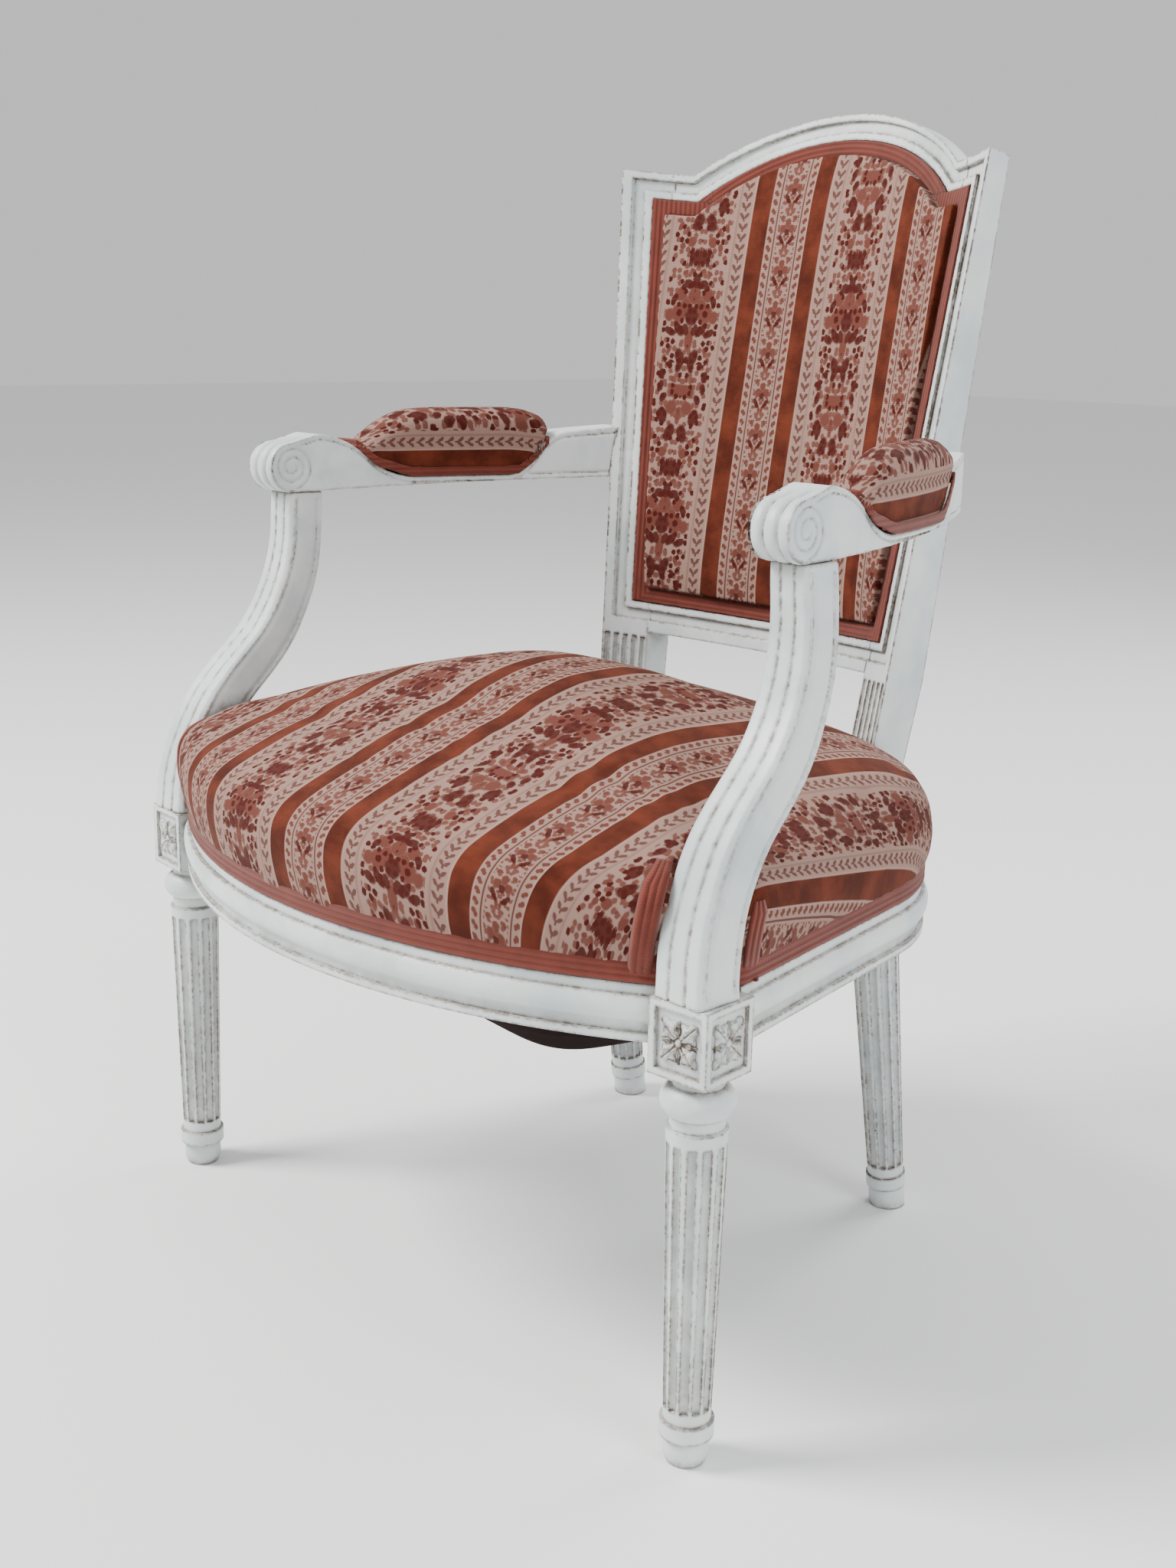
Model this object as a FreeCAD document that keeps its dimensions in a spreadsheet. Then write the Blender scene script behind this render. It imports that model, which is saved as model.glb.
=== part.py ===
import FreeCAD, Part
import math
import os

import Sketcher

# A Louis XVI style open armchair: a painted wooden frame of rails, turned front legs, raked rear posts,
# a concave arched back and scrolled arms, with a sprung seat, an upholstered back and padded arms.
# X is across the chair, Y runs from front to back, Z is up and the feet stand on Z = 0.

DRIVING_SIZES = [
    # Front legs
    ("front_leg_spacing", 574),
    ("block_width", 45),
    ("block_bottom", 265),
    ("block_height", 49),
    ("block_turn", 5),
    ("panel_margin", 5),
    ("panel_depth", 2.5),
    ("foot_radius", 15),
    ("foot_height", 19),
    ("ring_radius", 17.8),
    ("ring_height", 11),
    ("shaft_bottom_radius", 15.5),
    ("shaft_top_radius", 19.5),
    ("shaft_top_drop", 32),
    ("torus_radius", 22),
    ("torus_height", 18),
    ("neck_radius", 16.5),
    ("neck_height", 8),
    ("flute_radius", 2.8),
    ("flute_margin", 9),
    ("flute_count", 12),
    # Seat rails
    ("rail_bottom", 281),
    ("rail_thickness", 28),
    ("bead_height", 5),
    ("cove_height", 8),
    ("cushion_height", 16),
    ("fillet_height", 7),
    ("rebate_height", 18),
    ("moulding_depth", 5),
    ("rebate_depth", 8),
    ("front_rail_reach", 101),
    ("front_rail_inset", 3),
    ("side_rail_inset", 7),
    ("corner_radius", 163),
    ("corner_lead", 18.4),
    ("tenon_length", 14),
    ("tenon_thickness", 9),
    ("tenon_height", 34),
    ("peg_radius", 3),
    ("peg_length", 30),
    ("brace_leg", 62),
    ("brace_thickness", 24),
    ("screw_radius", 2),
    ("screw_length", 34),
    # Rear posts
    ("rear_leg_spacing", 300),
    ("rear_leg_setback", 340),
    ("rear_foot_rake", 42),
    ("rear_foot_splay", 2),
    ("rear_foot_radius", 14.5),
    ("rear_ring_radius", 16),
    ("rear_shaft_radius", 14.5),
    ("rear_leg_top_radius", 19.5),
    ("post_block_width", 58),
    ("post_block_depth", 40),
    ("post_block_rise", 10),
    # Back frame, measured up its own slope from the joint line under the frame
    ("back_joint_height", 440),
    ("back_joint_setback", 379),
    ("back_rake", 9.5),
    ("back_radius", 295),
    ("back_thickness", 20),
    ("frame_bottom_half_width", 155),
    ("frame_flare", 0.081),
    ("frame_height", 384),
    ("stile_width", 36),
    ("stile_face_width", 22),
    ("stile_depth", 46),
    ("stile_top_depth", 25),
    ("lower_rail_height", 25),
    ("crest_height", 434),
    ("crest_radius", 206),
    ("crest_face_width", 20),
    ("shoulder_drop", 21),
    ("ledge_width", 12),
    ("ledge_depth", 8),
    ("groove_depth", 3),
    # Arms and their supports
    ("arm_bottom", 566),
    ("arm_rise", 8),
    ("arm_width", 32),
    ("arm_tip_reach", 62),
    ("arm_front_half_span", 285),
    ("arm_rear_half_span", 190),
    ("arm_bow", 20),
    ("scroll_radius", 20),
    ("arm_peak_height", 46),
    ("arm_peak_setback", 105),
    ("dip_height", 10),
    ("dip_front", 190),
    ("dip_rear", 272),
    ("arm_rear_height", 43),
    ("support_top_half_span", 269),
    ("support_setback", 97),
    ("support_start", -4),
    ("support_bend_radius", 148),
    ("support_width", 40),
    ("support_depth", 38),
    ("support_top_width", 32),
    ("support_top_depth", 31),
    ("support_tenon_radius", 8),
    ("support_tenon_length", 14),
    # Upholstery of the seat
    ("crown_height", 458),
    ("seat_wall_height", 388),
    ("seat_bulge", 10),
    ("seat_shoulder", 30),
    ("seat_dome_reach", 150),
    ("cover_thickness", 2),
    ("gimp_width", 16),
    ("gimp_thickness", 2),
    ("webbing_width", 56),
    ("webbing_pitch", 66),
    ("webbing_thickness", 1.5),
    ("webbing_front", 62),
    ("canvas_thickness", 1.2),
    ("canvas_height", 370),
    ("spring_radius", 26),
    ("spring_wire_radius", 1.7),
    ("spring_turns", 4),
    ("spring_pitch", 90),
    ("spring_front", 60),
    ("dust_cover_sag", 22),
    ("dust_cover_thickness", 1),
    # Upholstery of the back and the arms
    ("back_crown", 14),
    ("back_gimp_width", 12),
    ("arm_pad_height", 66),
    ("arm_pad_swell", 3),
    ("arm_pad_tail", 28),
    ("arm_gimp_width", 8),
    ("dowel_radius", 3),
    ("dowel_length", 36),
    ("dowel_turn", 35),
    ("clearance", 0.3),
]


class Size:
    """A length or angle worked out from the sheet: its value, and the text that binds an object to it."""

    def __init__(self, value, text):
        self.value = value
        self.text = text

    def __add__(self, other):
        return joined(self, "+", other, lambda a, b: a + b)

    def __sub__(self, other):
        return joined(self, "-", other, lambda a, b: a - b)

    def __mul__(self, other):
        return joined(self, "*", other, lambda a, b: a * b)

    def __truediv__(self, other):
        return joined(self, "/", other, lambda a, b: a / b)

    def __radd__(self, other):
        return as_size(other) + self

    def __rsub__(self, other):
        return as_size(other) - self

    def __rmul__(self, other):
        return as_size(other) * self

    def __neg__(self):
        return as_size(0) - self

    def __float__(self):
        return float(self.value)


def as_size(number):
    """Take a plain number as a size."""
    if isinstance(number, Size):
        return number
    return Size(float(number), repr(float(number)))


def joined(first, sign, second, rule):
    """Join two sizes by an arithmetic sign."""
    first = as_size(first)
    second = as_size(second)
    return Size(rule(first.value, second.value), "(" + first.text + " " + sign + " " + second.text + ")")


def sine(angle):
    """Sine of an angle in degrees."""
    return Size(math.sin(math.radians(angle.value)), "sin(" + angle.text + " * 1 deg)")


def cosine(angle):
    """Cosine of an angle in degrees."""
    return Size(math.cos(math.radians(angle.value)), "cos(" + angle.text + " * 1 deg)")


def root(size):
    """Square root."""
    return Size(math.sqrt(size.value), "sqrt(" + size.text + ")")


def direction(up, across):
    """Direction of a run, in degrees from X."""
    value = math.degrees(math.atan2(up.value, across.value))
    return Size(value, "(atan2(" + up.text + "; " + across.text + ") / 1 deg)")


def arc_cosine(ratio):
    """Angle of a cosine, in degrees."""
    return Size(math.degrees(math.acos(ratio.value)), "(acos(" + ratio.text + ") / 1 deg)")


def point(x, y, z=0.0):
    """A point in space."""
    return FreeCAD.Vector(float(x), float(y), float(z))


doc = FreeCAD.newDocument("Fauteuil")
sheet = doc.addObject("Spreadsheet::Sheet", "Dimensions")
for row, (size_name, size_value) in enumerate(DRIVING_SIZES, start=1):
    sheet.set("A" + str(row), size_name)
    sheet.set("B" + str(row), str(size_value))
    sheet.setAlias("B" + str(row), size_name)
doc.recompute()


def size(name):
    """A driving size of the sheet."""
    return Size(float(getattr(sheet, name)), "Dimensions." + name)


# Sizes that several pieces share
half_block = size("block_width") / 2
front_leg_x = size("front_leg_spacing") / 2
rear_leg_x = size("rear_leg_spacing") / 2
rail_bottom = size("rail_bottom")
face_height = size("bead_height") + size("cove_height") + size("cushion_height") + size("fillet_height")
gimp_bottom = rail_bottom + face_height
rail_top = gimp_bottom + size("rebate_height")
block_top = size("block_bottom") + size("block_height")
half_rail = size("rail_thickness") / 2
# Centre of the arc that turns each side rail into its rear post
corner_reach = size("corner_radius") - half_rail
corner_x = rear_leg_x - corner_reach * sine(size("corner_lead"))
corner_y = size("rear_leg_setback") - corner_reach * cosine(size("corner_lead"))
# The side rail runs from the leg block and meets that arc without a kink
side_start_x = front_leg_x + half_block - size("side_rail_inset")
side_run_x = side_start_x - corner_x
side_run_y = half_block - corner_y
side_distance = root(side_run_x * side_run_x + side_run_y * side_run_y)
side_turn = direction(side_run_y, side_run_x) + arc_cosine(size("corner_radius") / side_distance)
side_length = root(side_distance * side_distance - size("corner_radius") * size("corner_radius"))
corner_sweep = 90 - size("corner_lead") - side_turn
# The rear rail carries on from post to post on one wide arc
rear_bow_radius = rear_leg_x / sine(size("corner_lead"))
rear_bow_y = size("rear_leg_setback") - rear_bow_radius * cosine(size("corner_lead"))
# The front rail bows forward from block to block
joint_x = front_leg_x - half_block
front_sag = size("front_rail_reach") - half_block + size("front_rail_inset")
front_bow_radius = (joint_x * joint_x + front_sag * front_sag) / (front_sag * 2)
front_bow_y = front_bow_radius - size("front_rail_reach")
front_half_angle = 90 - arc_cosine(front_leg_x / front_bow_radius)


def origin_plane(body, role):
    """One of the body's own base planes."""
    for feature in body.Origin.OriginFeatures:
        if feature.Role == role:
            return feature
    raise ValueError(role)


def bind(thing, path, amount):
    """Bind a property to a size."""
    thing.setExpression(path, as_size(amount).text)


def place(thing, x=0, y=0, z=0, turn=None):
    """Bind a placement: a shift, and a turn about Z in degrees."""
    if turn is not None:
        thing.Placement = FreeCAD.Placement(FreeCAD.Vector(), FreeCAD.Rotation(FreeCAD.Vector(0, 0, 1), float(turn)))
        bind(thing, "Placement.Rotation.Angle", turn)
    bind(thing, "Placement.Base.x", x)
    bind(thing, "Placement.Base.y", y)
    bind(thing, "Placement.Base.z", z)


def arc_middle(start, end, radius, side):
    """Middle point of the shorter arc between two points, bulging to the left (side 1) or right (-1)."""
    chord = end - start
    bow = radius - math.sqrt(max(radius * radius - chord.Length ** 2 / 4, 0))
    left = FreeCAD.Vector(-chord.y, chord.x, 0).normalize()
    return (start + end) * 0.5 + left * (bow * side)


def sketch_outline(body, name, plane, corners, lift=None):
    """Sketch a closed outline whose every corner is bound to the sheet. A corner is (across, up), or
    (across, up, radius, side) where an arc leads on to the next corner."""
    sketch = body.newObject("Sketcher::SketchObject", name)
    sketch.AttachmentSupport = (origin_plane(body, plane), [""])
    sketch.MapMode = "FlatFace"
    if lift is not None:
        bind(sketch, "AttachmentOffset.Base.z", lift)
    places = [point(corner[0], corner[1]) for corner in corners]
    for index, corner in enumerate(corners):
        start = places[index]
        end = places[(index + 1) % len(places)]
        if len(corner) == 2:
            sketch.addGeometry(Part.LineSegment(start, end), False)
        else:
            middle = arc_middle(start, end, float(corner[2]), corner[3])
            ends_in_turn = (start, end) if corner[3] < 0 else (end, start)
            sketch.addGeometry(Part.Arc(ends_in_turn[0], middle, ends_in_turn[1]), False)
    ends = [end_indices(sketch, index, places) for index in range(len(corners))]
    for index, corner in enumerate(corners):
        nxt = (index + 1) % len(corners)
        sketch.addConstraint(Sketcher.Constraint("Coincident", index, ends[index][1], nxt, ends[nxt][0]))
    for index, corner in enumerate(corners):
        lock(sketch, index, ends[index][0], "DistanceX", corner[0])
        lock(sketch, index, ends[index][0], "DistanceY", corner[1])
        if len(corner) > 2:
            number = sketch.addConstraint(Sketcher.Constraint("Radius", index, float(corner[2])))
            bind(sketch, "Constraints[" + str(number) + "]", corner[2])
    return sketch


def end_indices(sketch, index, places):
    """Which end of a sketched edge is its start: an arc is stored turning to the left."""
    edge = sketch.Geometry[index]
    if (edge.StartPoint - places[index]).Length < (edge.EndPoint - places[index]).Length:
        return 1, 2
    return 2, 1


def lock(sketch, index, end, kind, amount):
    """Hold one end of a sketched edge at a bound distance from the sketch's origin."""
    amount = as_size(amount)
    number = sketch.addConstraint(Sketcher.Constraint(kind, -1, 1, index, end, amount.value))
    if "Dimensions" in amount.text:
        bind(sketch, "Constraints[" + str(number) + "]", amount)


def new_body(name):
    """Start a body."""
    return doc.addObject("PartDesign::Body", name)


def add_revolution(body, sketch, name, angle=None, midplane=False):
    """Turn a sketch about its own upright axis."""
    feature = body.newObject("PartDesign::Revolution", name)
    feature.Profile = sketch
    feature.ReferenceAxis = (sketch, ["V_Axis"])
    feature.Angle = 360.0
    if angle is not None:
        bind(feature, "Angle", angle)
    feature.Midplane = midplane
    return feature


def add_pad(body, sketch, name, length, reverse=False):
    """Raise a sketch into a solid."""
    feature = body.newObject("PartDesign::Pad", name)
    feature.Profile = sketch
    bind(feature, "Length", length)
    feature.Reversed = reverse
    return feature


def add_pocket(body, sketch, name, depth, reverse=False):
    """Sink a sketch into the body."""
    feature = body.newObject("PartDesign::Pocket", name)
    feature.Profile = sketch
    bind(feature, "Length", depth)
    feature.Reversed = reverse
    return feature


def box(name, sizes, corner, turn=None, pivot=None):
    """A box bound to the sheet. Sizes and lowest corner are given in the turned frame of its pivot."""
    thing = doc.addObject("Part::Box", name)
    bind(thing, "Length", sizes[0])
    bind(thing, "Width", sizes[1])
    bind(thing, "Height", sizes[2])
    if turn is None:
        place(thing, *corner)
        return thing
    across = corner[0] * cosine(turn) - corner[1] * sine(turn)
    along = corner[0] * sine(turn) + corner[1] * cosine(turn)
    place(thing, pivot[0] + across, pivot[1] + along, corner[2], turn)
    return thing


def cut(name, base, tools):
    """Cut tools out of a base."""
    tool = tools[0]
    if len(tools) > 1:
        tool = fuse(name + "Tools", tools)
    thing = doc.addObject("Part::Cut", name)
    thing.Base = base
    thing.Tool = tool
    return thing


def fuse(name, shapes):
    """Join shapes into one solid."""
    thing = doc.addObject("Part::MultiFuse", name)
    thing.Shapes = shapes
    return thing


def mirror(name, source):
    """The left-hand twin of a right-hand piece."""
    thing = doc.addObject("Part::Mirroring", name)
    thing.Source = source
    thing.Base = FreeCAD.Vector()
    thing.Normal = FreeCAD.Vector(1, 0, 0)
    return thing


def feature(name, shape):
    """A piece whose shape is made by Part's own functions."""
    thing = doc.addObject("Part::Feature", name)
    thing.Shape = shape
    return thing


def polygon_wire(points):
    """A closed wire through points."""
    return Part.makePolygon(list(points) + [points[0]])


def prism(points, travel):
    """A flat outline carried along a vector."""
    return Part.Face(polygon_wire(points)).extrude(travel)


pieces = {}


def keep(node, thing):
    """Name a finished sub-part."""
    thing.Label = node
    pieces[node] = thing
    return thing


# Front legs: turned foot, ring, fluted shaft, groove, torus and neck under a square block
def turned_outline(radii, heights):
    """Half outline of a turned leg, from the floor up to the block."""
    foot, ring, low, high, torus, neck = radii
    foot_top, ring_top, shaft_top, torus_bottom, torus_top, top = heights
    outline = [(0, 0), (foot * 0.86, 0, foot_top, -1), (foot, foot_top * 0.55, foot_top, -1)]
    outline += [(foot * 0.9, foot_top), (ring, foot_top), (ring, ring_top), (low, ring_top)]
    outline += [(high, shaft_top), (high - 2, shaft_top + 1), (high - 2, torus_bottom)]
    outline += [(torus - 3, torus_bottom, (torus_top - torus_bottom) * 0.6, -1), (torus - 3, torus_top)]
    outline += [(neck, torus_top + 1), (neck, top), (0, top)]
    return outline


def flute_body(body, low, high, bottom, top, count):
    """Cut the rounded flutes of a tapered shaft."""
    flute = size("flute_radius")
    sketch = body.newObject("Sketcher::SketchObject", "FluteOutline")
    sketch.AttachmentSupport = (origin_plane(body, "XZ_Plane"), [""])
    sketch.MapMode = "FlatFace"
    start = bottom + size("flute_margin")
    end = top - size("flute_margin")
    corners = [(low, start), (low + flute, start), (high + flute, end), (high, end)]
    places = [point(*corner) for corner in corners]
    for index in range(4):
        sketch.addGeometry(Part.LineSegment(places[index], places[(index + 1) % 4]), False)
    for index in range(4):
        sketch.addConstraint(Sketcher.Constraint("Coincident", index, 2, (index + 1) % 4, 1))
    for index in range(4):
        lock(sketch, index, 1, "DistanceX", corners[index][0])
        lock(sketch, index, 1, "DistanceY", corners[index][1])
    sketch.addGeometry(Part.LineSegment(places[0], places[3]), True)
    sketch.addConstraint(Sketcher.Constraint("Coincident", 4, 1, 0, 1))
    sketch.addConstraint(Sketcher.Constraint("Coincident", 4, 2, 3, 1))
    doc.recompute()
    before = body.Shape.Volume
    groove = body.newObject("PartDesign::Groove", "Flute")
    groove.Profile = sketch
    groove.ReferenceAxis = (sketch, ["Axis0"])
    groove.Angle = 360.0
    doc.recompute()
    if not body.Shape.Volume < before:
        raise ValueError("the flute cuts nothing")
    pattern = body.newObject("PartDesign::PolarPattern", "Flutes")
    pattern.Originals = [groove]
    pattern.Axis = (origin_plane(body, "Z_Axis"), [""])
    pattern.Angle = 360.0
    bind(pattern, "Occurrences", count)
    body.Tip = pattern
    doc.recompute()


def turned_leg(name, radii, heights):
    """A turned and fluted leg standing on its own origin."""
    body = new_body(name)
    sketch = sketch_outline(body, "TurnedOutline", "XZ_Plane", turned_outline(radii, heights))
    add_revolution(body, sketch, "Turning")
    flute_body(body, radii[2], radii[3], heights[1], heights[2], size("flute_count"))
    return body


def leg_heights(top):
    """Levels of a turned leg under a block or rail."""
    foot_top = size("foot_height")
    ring_top = foot_top + size("ring_height")
    torus_top = top - size("neck_height")
    torus_bottom = torus_top - size("torus_height")
    return foot_top, ring_top, top - size("shaft_top_drop") - 3, torus_bottom, torus_top, top


front_radii = tuple(size(name) for name in (
    "foot_radius", "ring_radius", "shaft_bottom_radius", "shaft_top_radius", "torus_radius", "neck_radius"))
leg_body = turned_leg("FrontLeg", front_radii, leg_heights(size("block_bottom")))
block_corners = [(-half_block, -half_block), (half_block, -half_block),
                 (half_block, half_block), (-half_block, half_block)]
block_sketch = sketch_outline(leg_body, "BlockOutline", "XY_Plane", block_corners, size("block_bottom"))
add_pad(leg_body, block_sketch, "Block", size("block_height"))
panel_low = size("block_bottom") + size("panel_margin")
panel_high = block_top - size("panel_margin")
panel_side = half_block - size("panel_margin")
panel_corners = [(-panel_side, panel_low), (panel_side, panel_low),
                 (panel_side, panel_high), (-panel_side, panel_high)]
doc.recompute()
for plane, panel_name in (("XZ_Plane", "FrontPanel"), ("YZ_Plane", "OuterPanel")):
    full = leg_body.Shape.Volume
    panel_sketch = sketch_outline(leg_body, panel_name + "Outline", plane, panel_corners, half_block)
    add_pocket(leg_body, panel_sketch, panel_name, size("panel_depth"))
    doc.recompute()
    if not leg_body.Shape.Volume < full:
        raise ValueError(panel_name + " cuts nothing")
place(leg_body, front_leg_x, 0, 0, size("block_turn"))


# Seat rails: one moulded section, carried round the seat
def rail_section(face):
    """Moulded section of a rail whose outermost point is at the given distance from the upright axis."""
    depth = size("moulding_depth")
    level = [rail_bottom]
    for part in ("bead_height", "cove_height", "cushion_height", "fillet_height", "rebate_height"):
        level.append(level[-1] + size(part))
    rebate = face - size("rebate_depth")
    inner = face - size("rail_thickness")
    return [
        (inner, level[0]),
        (face - depth * 0.4, level[0]),
        (face - depth * 0.4, level[1]),
        (face - depth, level[1], size("cove_height") * 0.9, 1),
        (face - depth * 0.5, level[2], size("cushion_height") * 0.75, -1),
        (face - depth * 0.5, level[3]),
        (face - depth, level[3]),
        (face - depth, level[4]),
        (rebate, level[4]),
        (rebate, level[5]),
        (inner, level[5]),
    ]


def block_cutter(name):
    """The space of a front leg block, for what stands against it."""
    thing = doc.addObject("Part::Box", name)
    bind(thing, "Length", size("block_width"))
    bind(thing, "Width", size("block_width"))
    bind(thing, "Height", rail_top)
    turn = size("block_turn")
    across = half_block * cosine(turn) - half_block * sine(turn)
    along = half_block * sine(turn) + half_block * cosine(turn)
    place(thing, front_leg_x - across, -along, 0, turn)
    return thing


def rail_tenon(name, start, turn, reach, slack=0):
    """A tenon, or its mortise with some slack: start is its root, and it runs on along the turn."""
    long = size("tenon_length") + reach + slack * 2
    thick = size("tenon_thickness") + slack * 2
    high = size("tenon_height") + slack * 2
    low = rail_bottom + face_height / 2 - size("tenon_height") / 2 - slack
    return box(name, (long, thick, high), (-reach, -thick / 2, low), turn, start)


front_rail_body = new_body("FrontRailArc")
add_revolution(front_rail_body, sketch_outline(front_rail_body, "RailSection", "XZ_Plane",
                                               rail_section(front_bow_radius)),
               "Arc", 2 * front_half_angle, True)
place(front_rail_body, 0, front_bow_y, 0, as_size(-90))

side_rail_body = new_body("SideRailRun")
side_sketch = sketch_outline(side_rail_body, "RunSection", "XZ_Plane", rail_section(size("corner_radius")))
add_pad(side_rail_body, side_sketch, "Run", side_length + half_block)
corner_sketch = sketch_outline(side_rail_body, "CornerSection", "XZ_Plane", rail_section(size("corner_radius")))
add_revolution(side_rail_body, corner_sketch, "Corner", corner_sweep)
place(side_rail_body, corner_x, corner_y, 0, side_turn)

rear_rail_body = new_body("RearRailArc")
add_revolution(rear_rail_body, sketch_outline(rear_rail_body, "RailSection", "XZ_Plane",
                                              rail_section(rear_bow_radius + half_rail)),
               "Arc", 2 * size("corner_lead"), True)
place(rear_rail_body, 0, rear_bow_y, 0, as_size(90))
doc.recompute()

# The front rail is tenoned into both leg blocks
front_mid = front_bow_radius - half_rail
front_joint_y = front_bow_y - root(front_mid * front_mid - joint_x * joint_x)
front_root = (joint_x, front_joint_y)
front_cutter = block_cutter("FrontBlockSpace")
front_cutter_left = mirror("FrontBlockSpaceLeft", front_cutter)
front_tenon = rail_tenon("FrontRailTenon", front_root, as_size(0), size("tenon_thickness"))
front_tenon_left = mirror("FrontRailTenonLeft", front_tenon)
side_root = (corner_x + corner_reach * cosine(side_turn) + side_length * sine(side_turn),
             corner_y + corner_reach * sine(side_turn) - side_length * cosine(side_turn))
side_tenon = rail_tenon("SideRailTenon", side_root, side_turn - 90, size("tenon_thickness"))
front_mortise = rail_tenon("FrontRailMortise", front_root, as_size(0), size("tenon_thickness"),
                           size("clearance"))
side_mortise = rail_tenon("SideRailMortise", side_root, side_turn - 90, size("tenon_thickness"),
                          size("clearance"))

# Rear post: a block on the line of the rails
lead = size("corner_lead")
half_post = size("post_block_width") / 2
post_inner = half_rail + size("post_block_depth") - size("rail_thickness")


def post_box(name, outward, rise):
    """A box at the right rear post: from the inner face of its seat block to some way outward."""
    sizes = (size("post_block_width"), post_inner + outward, rail_top - rail_bottom + rise)
    return box(name, sizes, (-half_post, -post_inner, rail_bottom), -lead, (rear_leg_x, size("rear_leg_setback")))


post_space = post_box("PostSpace", size("rail_thickness"), 0)
post_space_left = mirror("PostSpaceLeft", post_space)
post_core = post_box("PostCore", 0, size("post_block_rise"))


def post_root(side):
    """Root of a tenon on one face of the post block, in the line of the rails."""
    return (rear_leg_x + side * half_post * cosine(lead), size("rear_leg_setback") - side * half_post * sine(lead))


corner_tenon = rail_tenon("SideRailRearTenon", post_root(1), 180 - lead, size("tenon_thickness"))
corner_mortise = rail_tenon("SideRailRearMortise", post_root(1), 180 - lead, size("tenon_thickness"),
                            size("clearance"))
rear_tenon = rail_tenon("RearRailTenon", post_root(-1), -lead, size("tenon_thickness"))
rear_tenon_left = mirror("RearRailTenonLeft", rear_tenon)
rear_mortise = rail_tenon("RearRailMortise", post_root(-1), -lead, size("tenon_thickness"), size("clearance"))
doc.recompute()


# Plain numbers of the sizes, for the pieces that Part's own functions make
def mm(name):
    """A driving size as a plain number."""
    return float(size(name))


CLEAR = mm("clearance")
ARM_SHORTFALL = 13.0


def main_solid(shape):
    """The largest solid of a shape, without offcuts."""
    return max(shape.Solids, key=lambda solid: solid.Volume)


# Outline of the seat in plan, drawn a given distance inside the outer face of the rails
def seat_wire(inset, height, share=1.0):
    """Closed line round the seat: bowed front, straight sides, rounded rear corners and bowed rear. A share
    under 1 draws the line in towards the middle of the seat."""
    bow_radius = float(front_bow_radius) - inset
    bow_y = float(front_bow_y)
    turn = math.radians(float(side_turn))
    out = FreeCAD.Vector(math.cos(turn), math.sin(turn), 0)
    ahead = FreeCAD.Vector(math.sin(turn), -math.cos(turn), 0)
    centre = point(corner_x, corner_y)
    radius = mm("corner_radius") - inset
    side_rear = centre + out * radius
    # Where the side line would meet the bowed front
    offset = side_rear - point(0, bow_y)
    along = -offset.dot(ahead) + math.sqrt(offset.dot(ahead) ** 2 - offset.dot(offset) + bow_radius ** 2)
    meet = side_rear + ahead * along
    rounding = float(half_block)
    side_front = meet - ahead * rounding
    angle = math.asin(meet.x / bow_radius) - rounding / bow_radius
    bow_end = point(bow_radius * math.sin(angle), bow_y - bow_radius * math.cos(angle))
    corner_middle = bow_end * 0.25 + meet * 0.5 + side_front * 0.25
    half_lead = math.radians(mm("corner_lead"))
    rear_radius = float(rear_bow_radius) + float(half_rail) - inset
    rear_y = float(rear_bow_y)
    rear_end = point(rear_radius * math.sin(half_lead), rear_y + rear_radius * math.cos(half_lead))
    half_sweep = (turn + math.pi / 2 - half_lead) / 2
    rear_corner = centre + point(math.cos(half_sweep), math.sin(half_sweep)) * radius
    front_middle = point(0, bow_y - bow_radius)
    rear_middle = point(0, rear_y + rear_radius)

    def left(spot):
        return point(-spot.x, spot.y)

    runs = [
        Part.Arc(left(bow_end), front_middle, bow_end),
        Part.Arc(bow_end, corner_middle, side_front),
        Part.LineSegment(side_front, side_rear),
        Part.Arc(side_rear, rear_corner, rear_end),
        Part.Arc(rear_end, rear_middle, left(rear_end)),
        Part.Arc(left(rear_end), left(rear_corner), left(side_rear)),
        Part.LineSegment(left(side_rear), left(side_front)),
        Part.Arc(left(side_front), left(corner_middle), left(bow_end)),
    ]
    wire = Part.Wire([run.toShape() for run in runs])
    if share < 1:
        wire.scale(share, (front_middle + rear_middle) * 0.5)
    wire.translate(point(0, 0, height))
    return wire


def seat_form(levels):
    """Closed solid through seat outlines: levels are (inset, height) or (inset, height, share), rising."""
    return Part.makeLoft([seat_wire(*level) for level in levels], True, True)


def seat_slab(inset, low, high):
    """Straight-sided slab of the seat's outline."""
    return Part.Face(seat_wire(inset, low)).extrude(point(0, 0, high - low))


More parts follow.
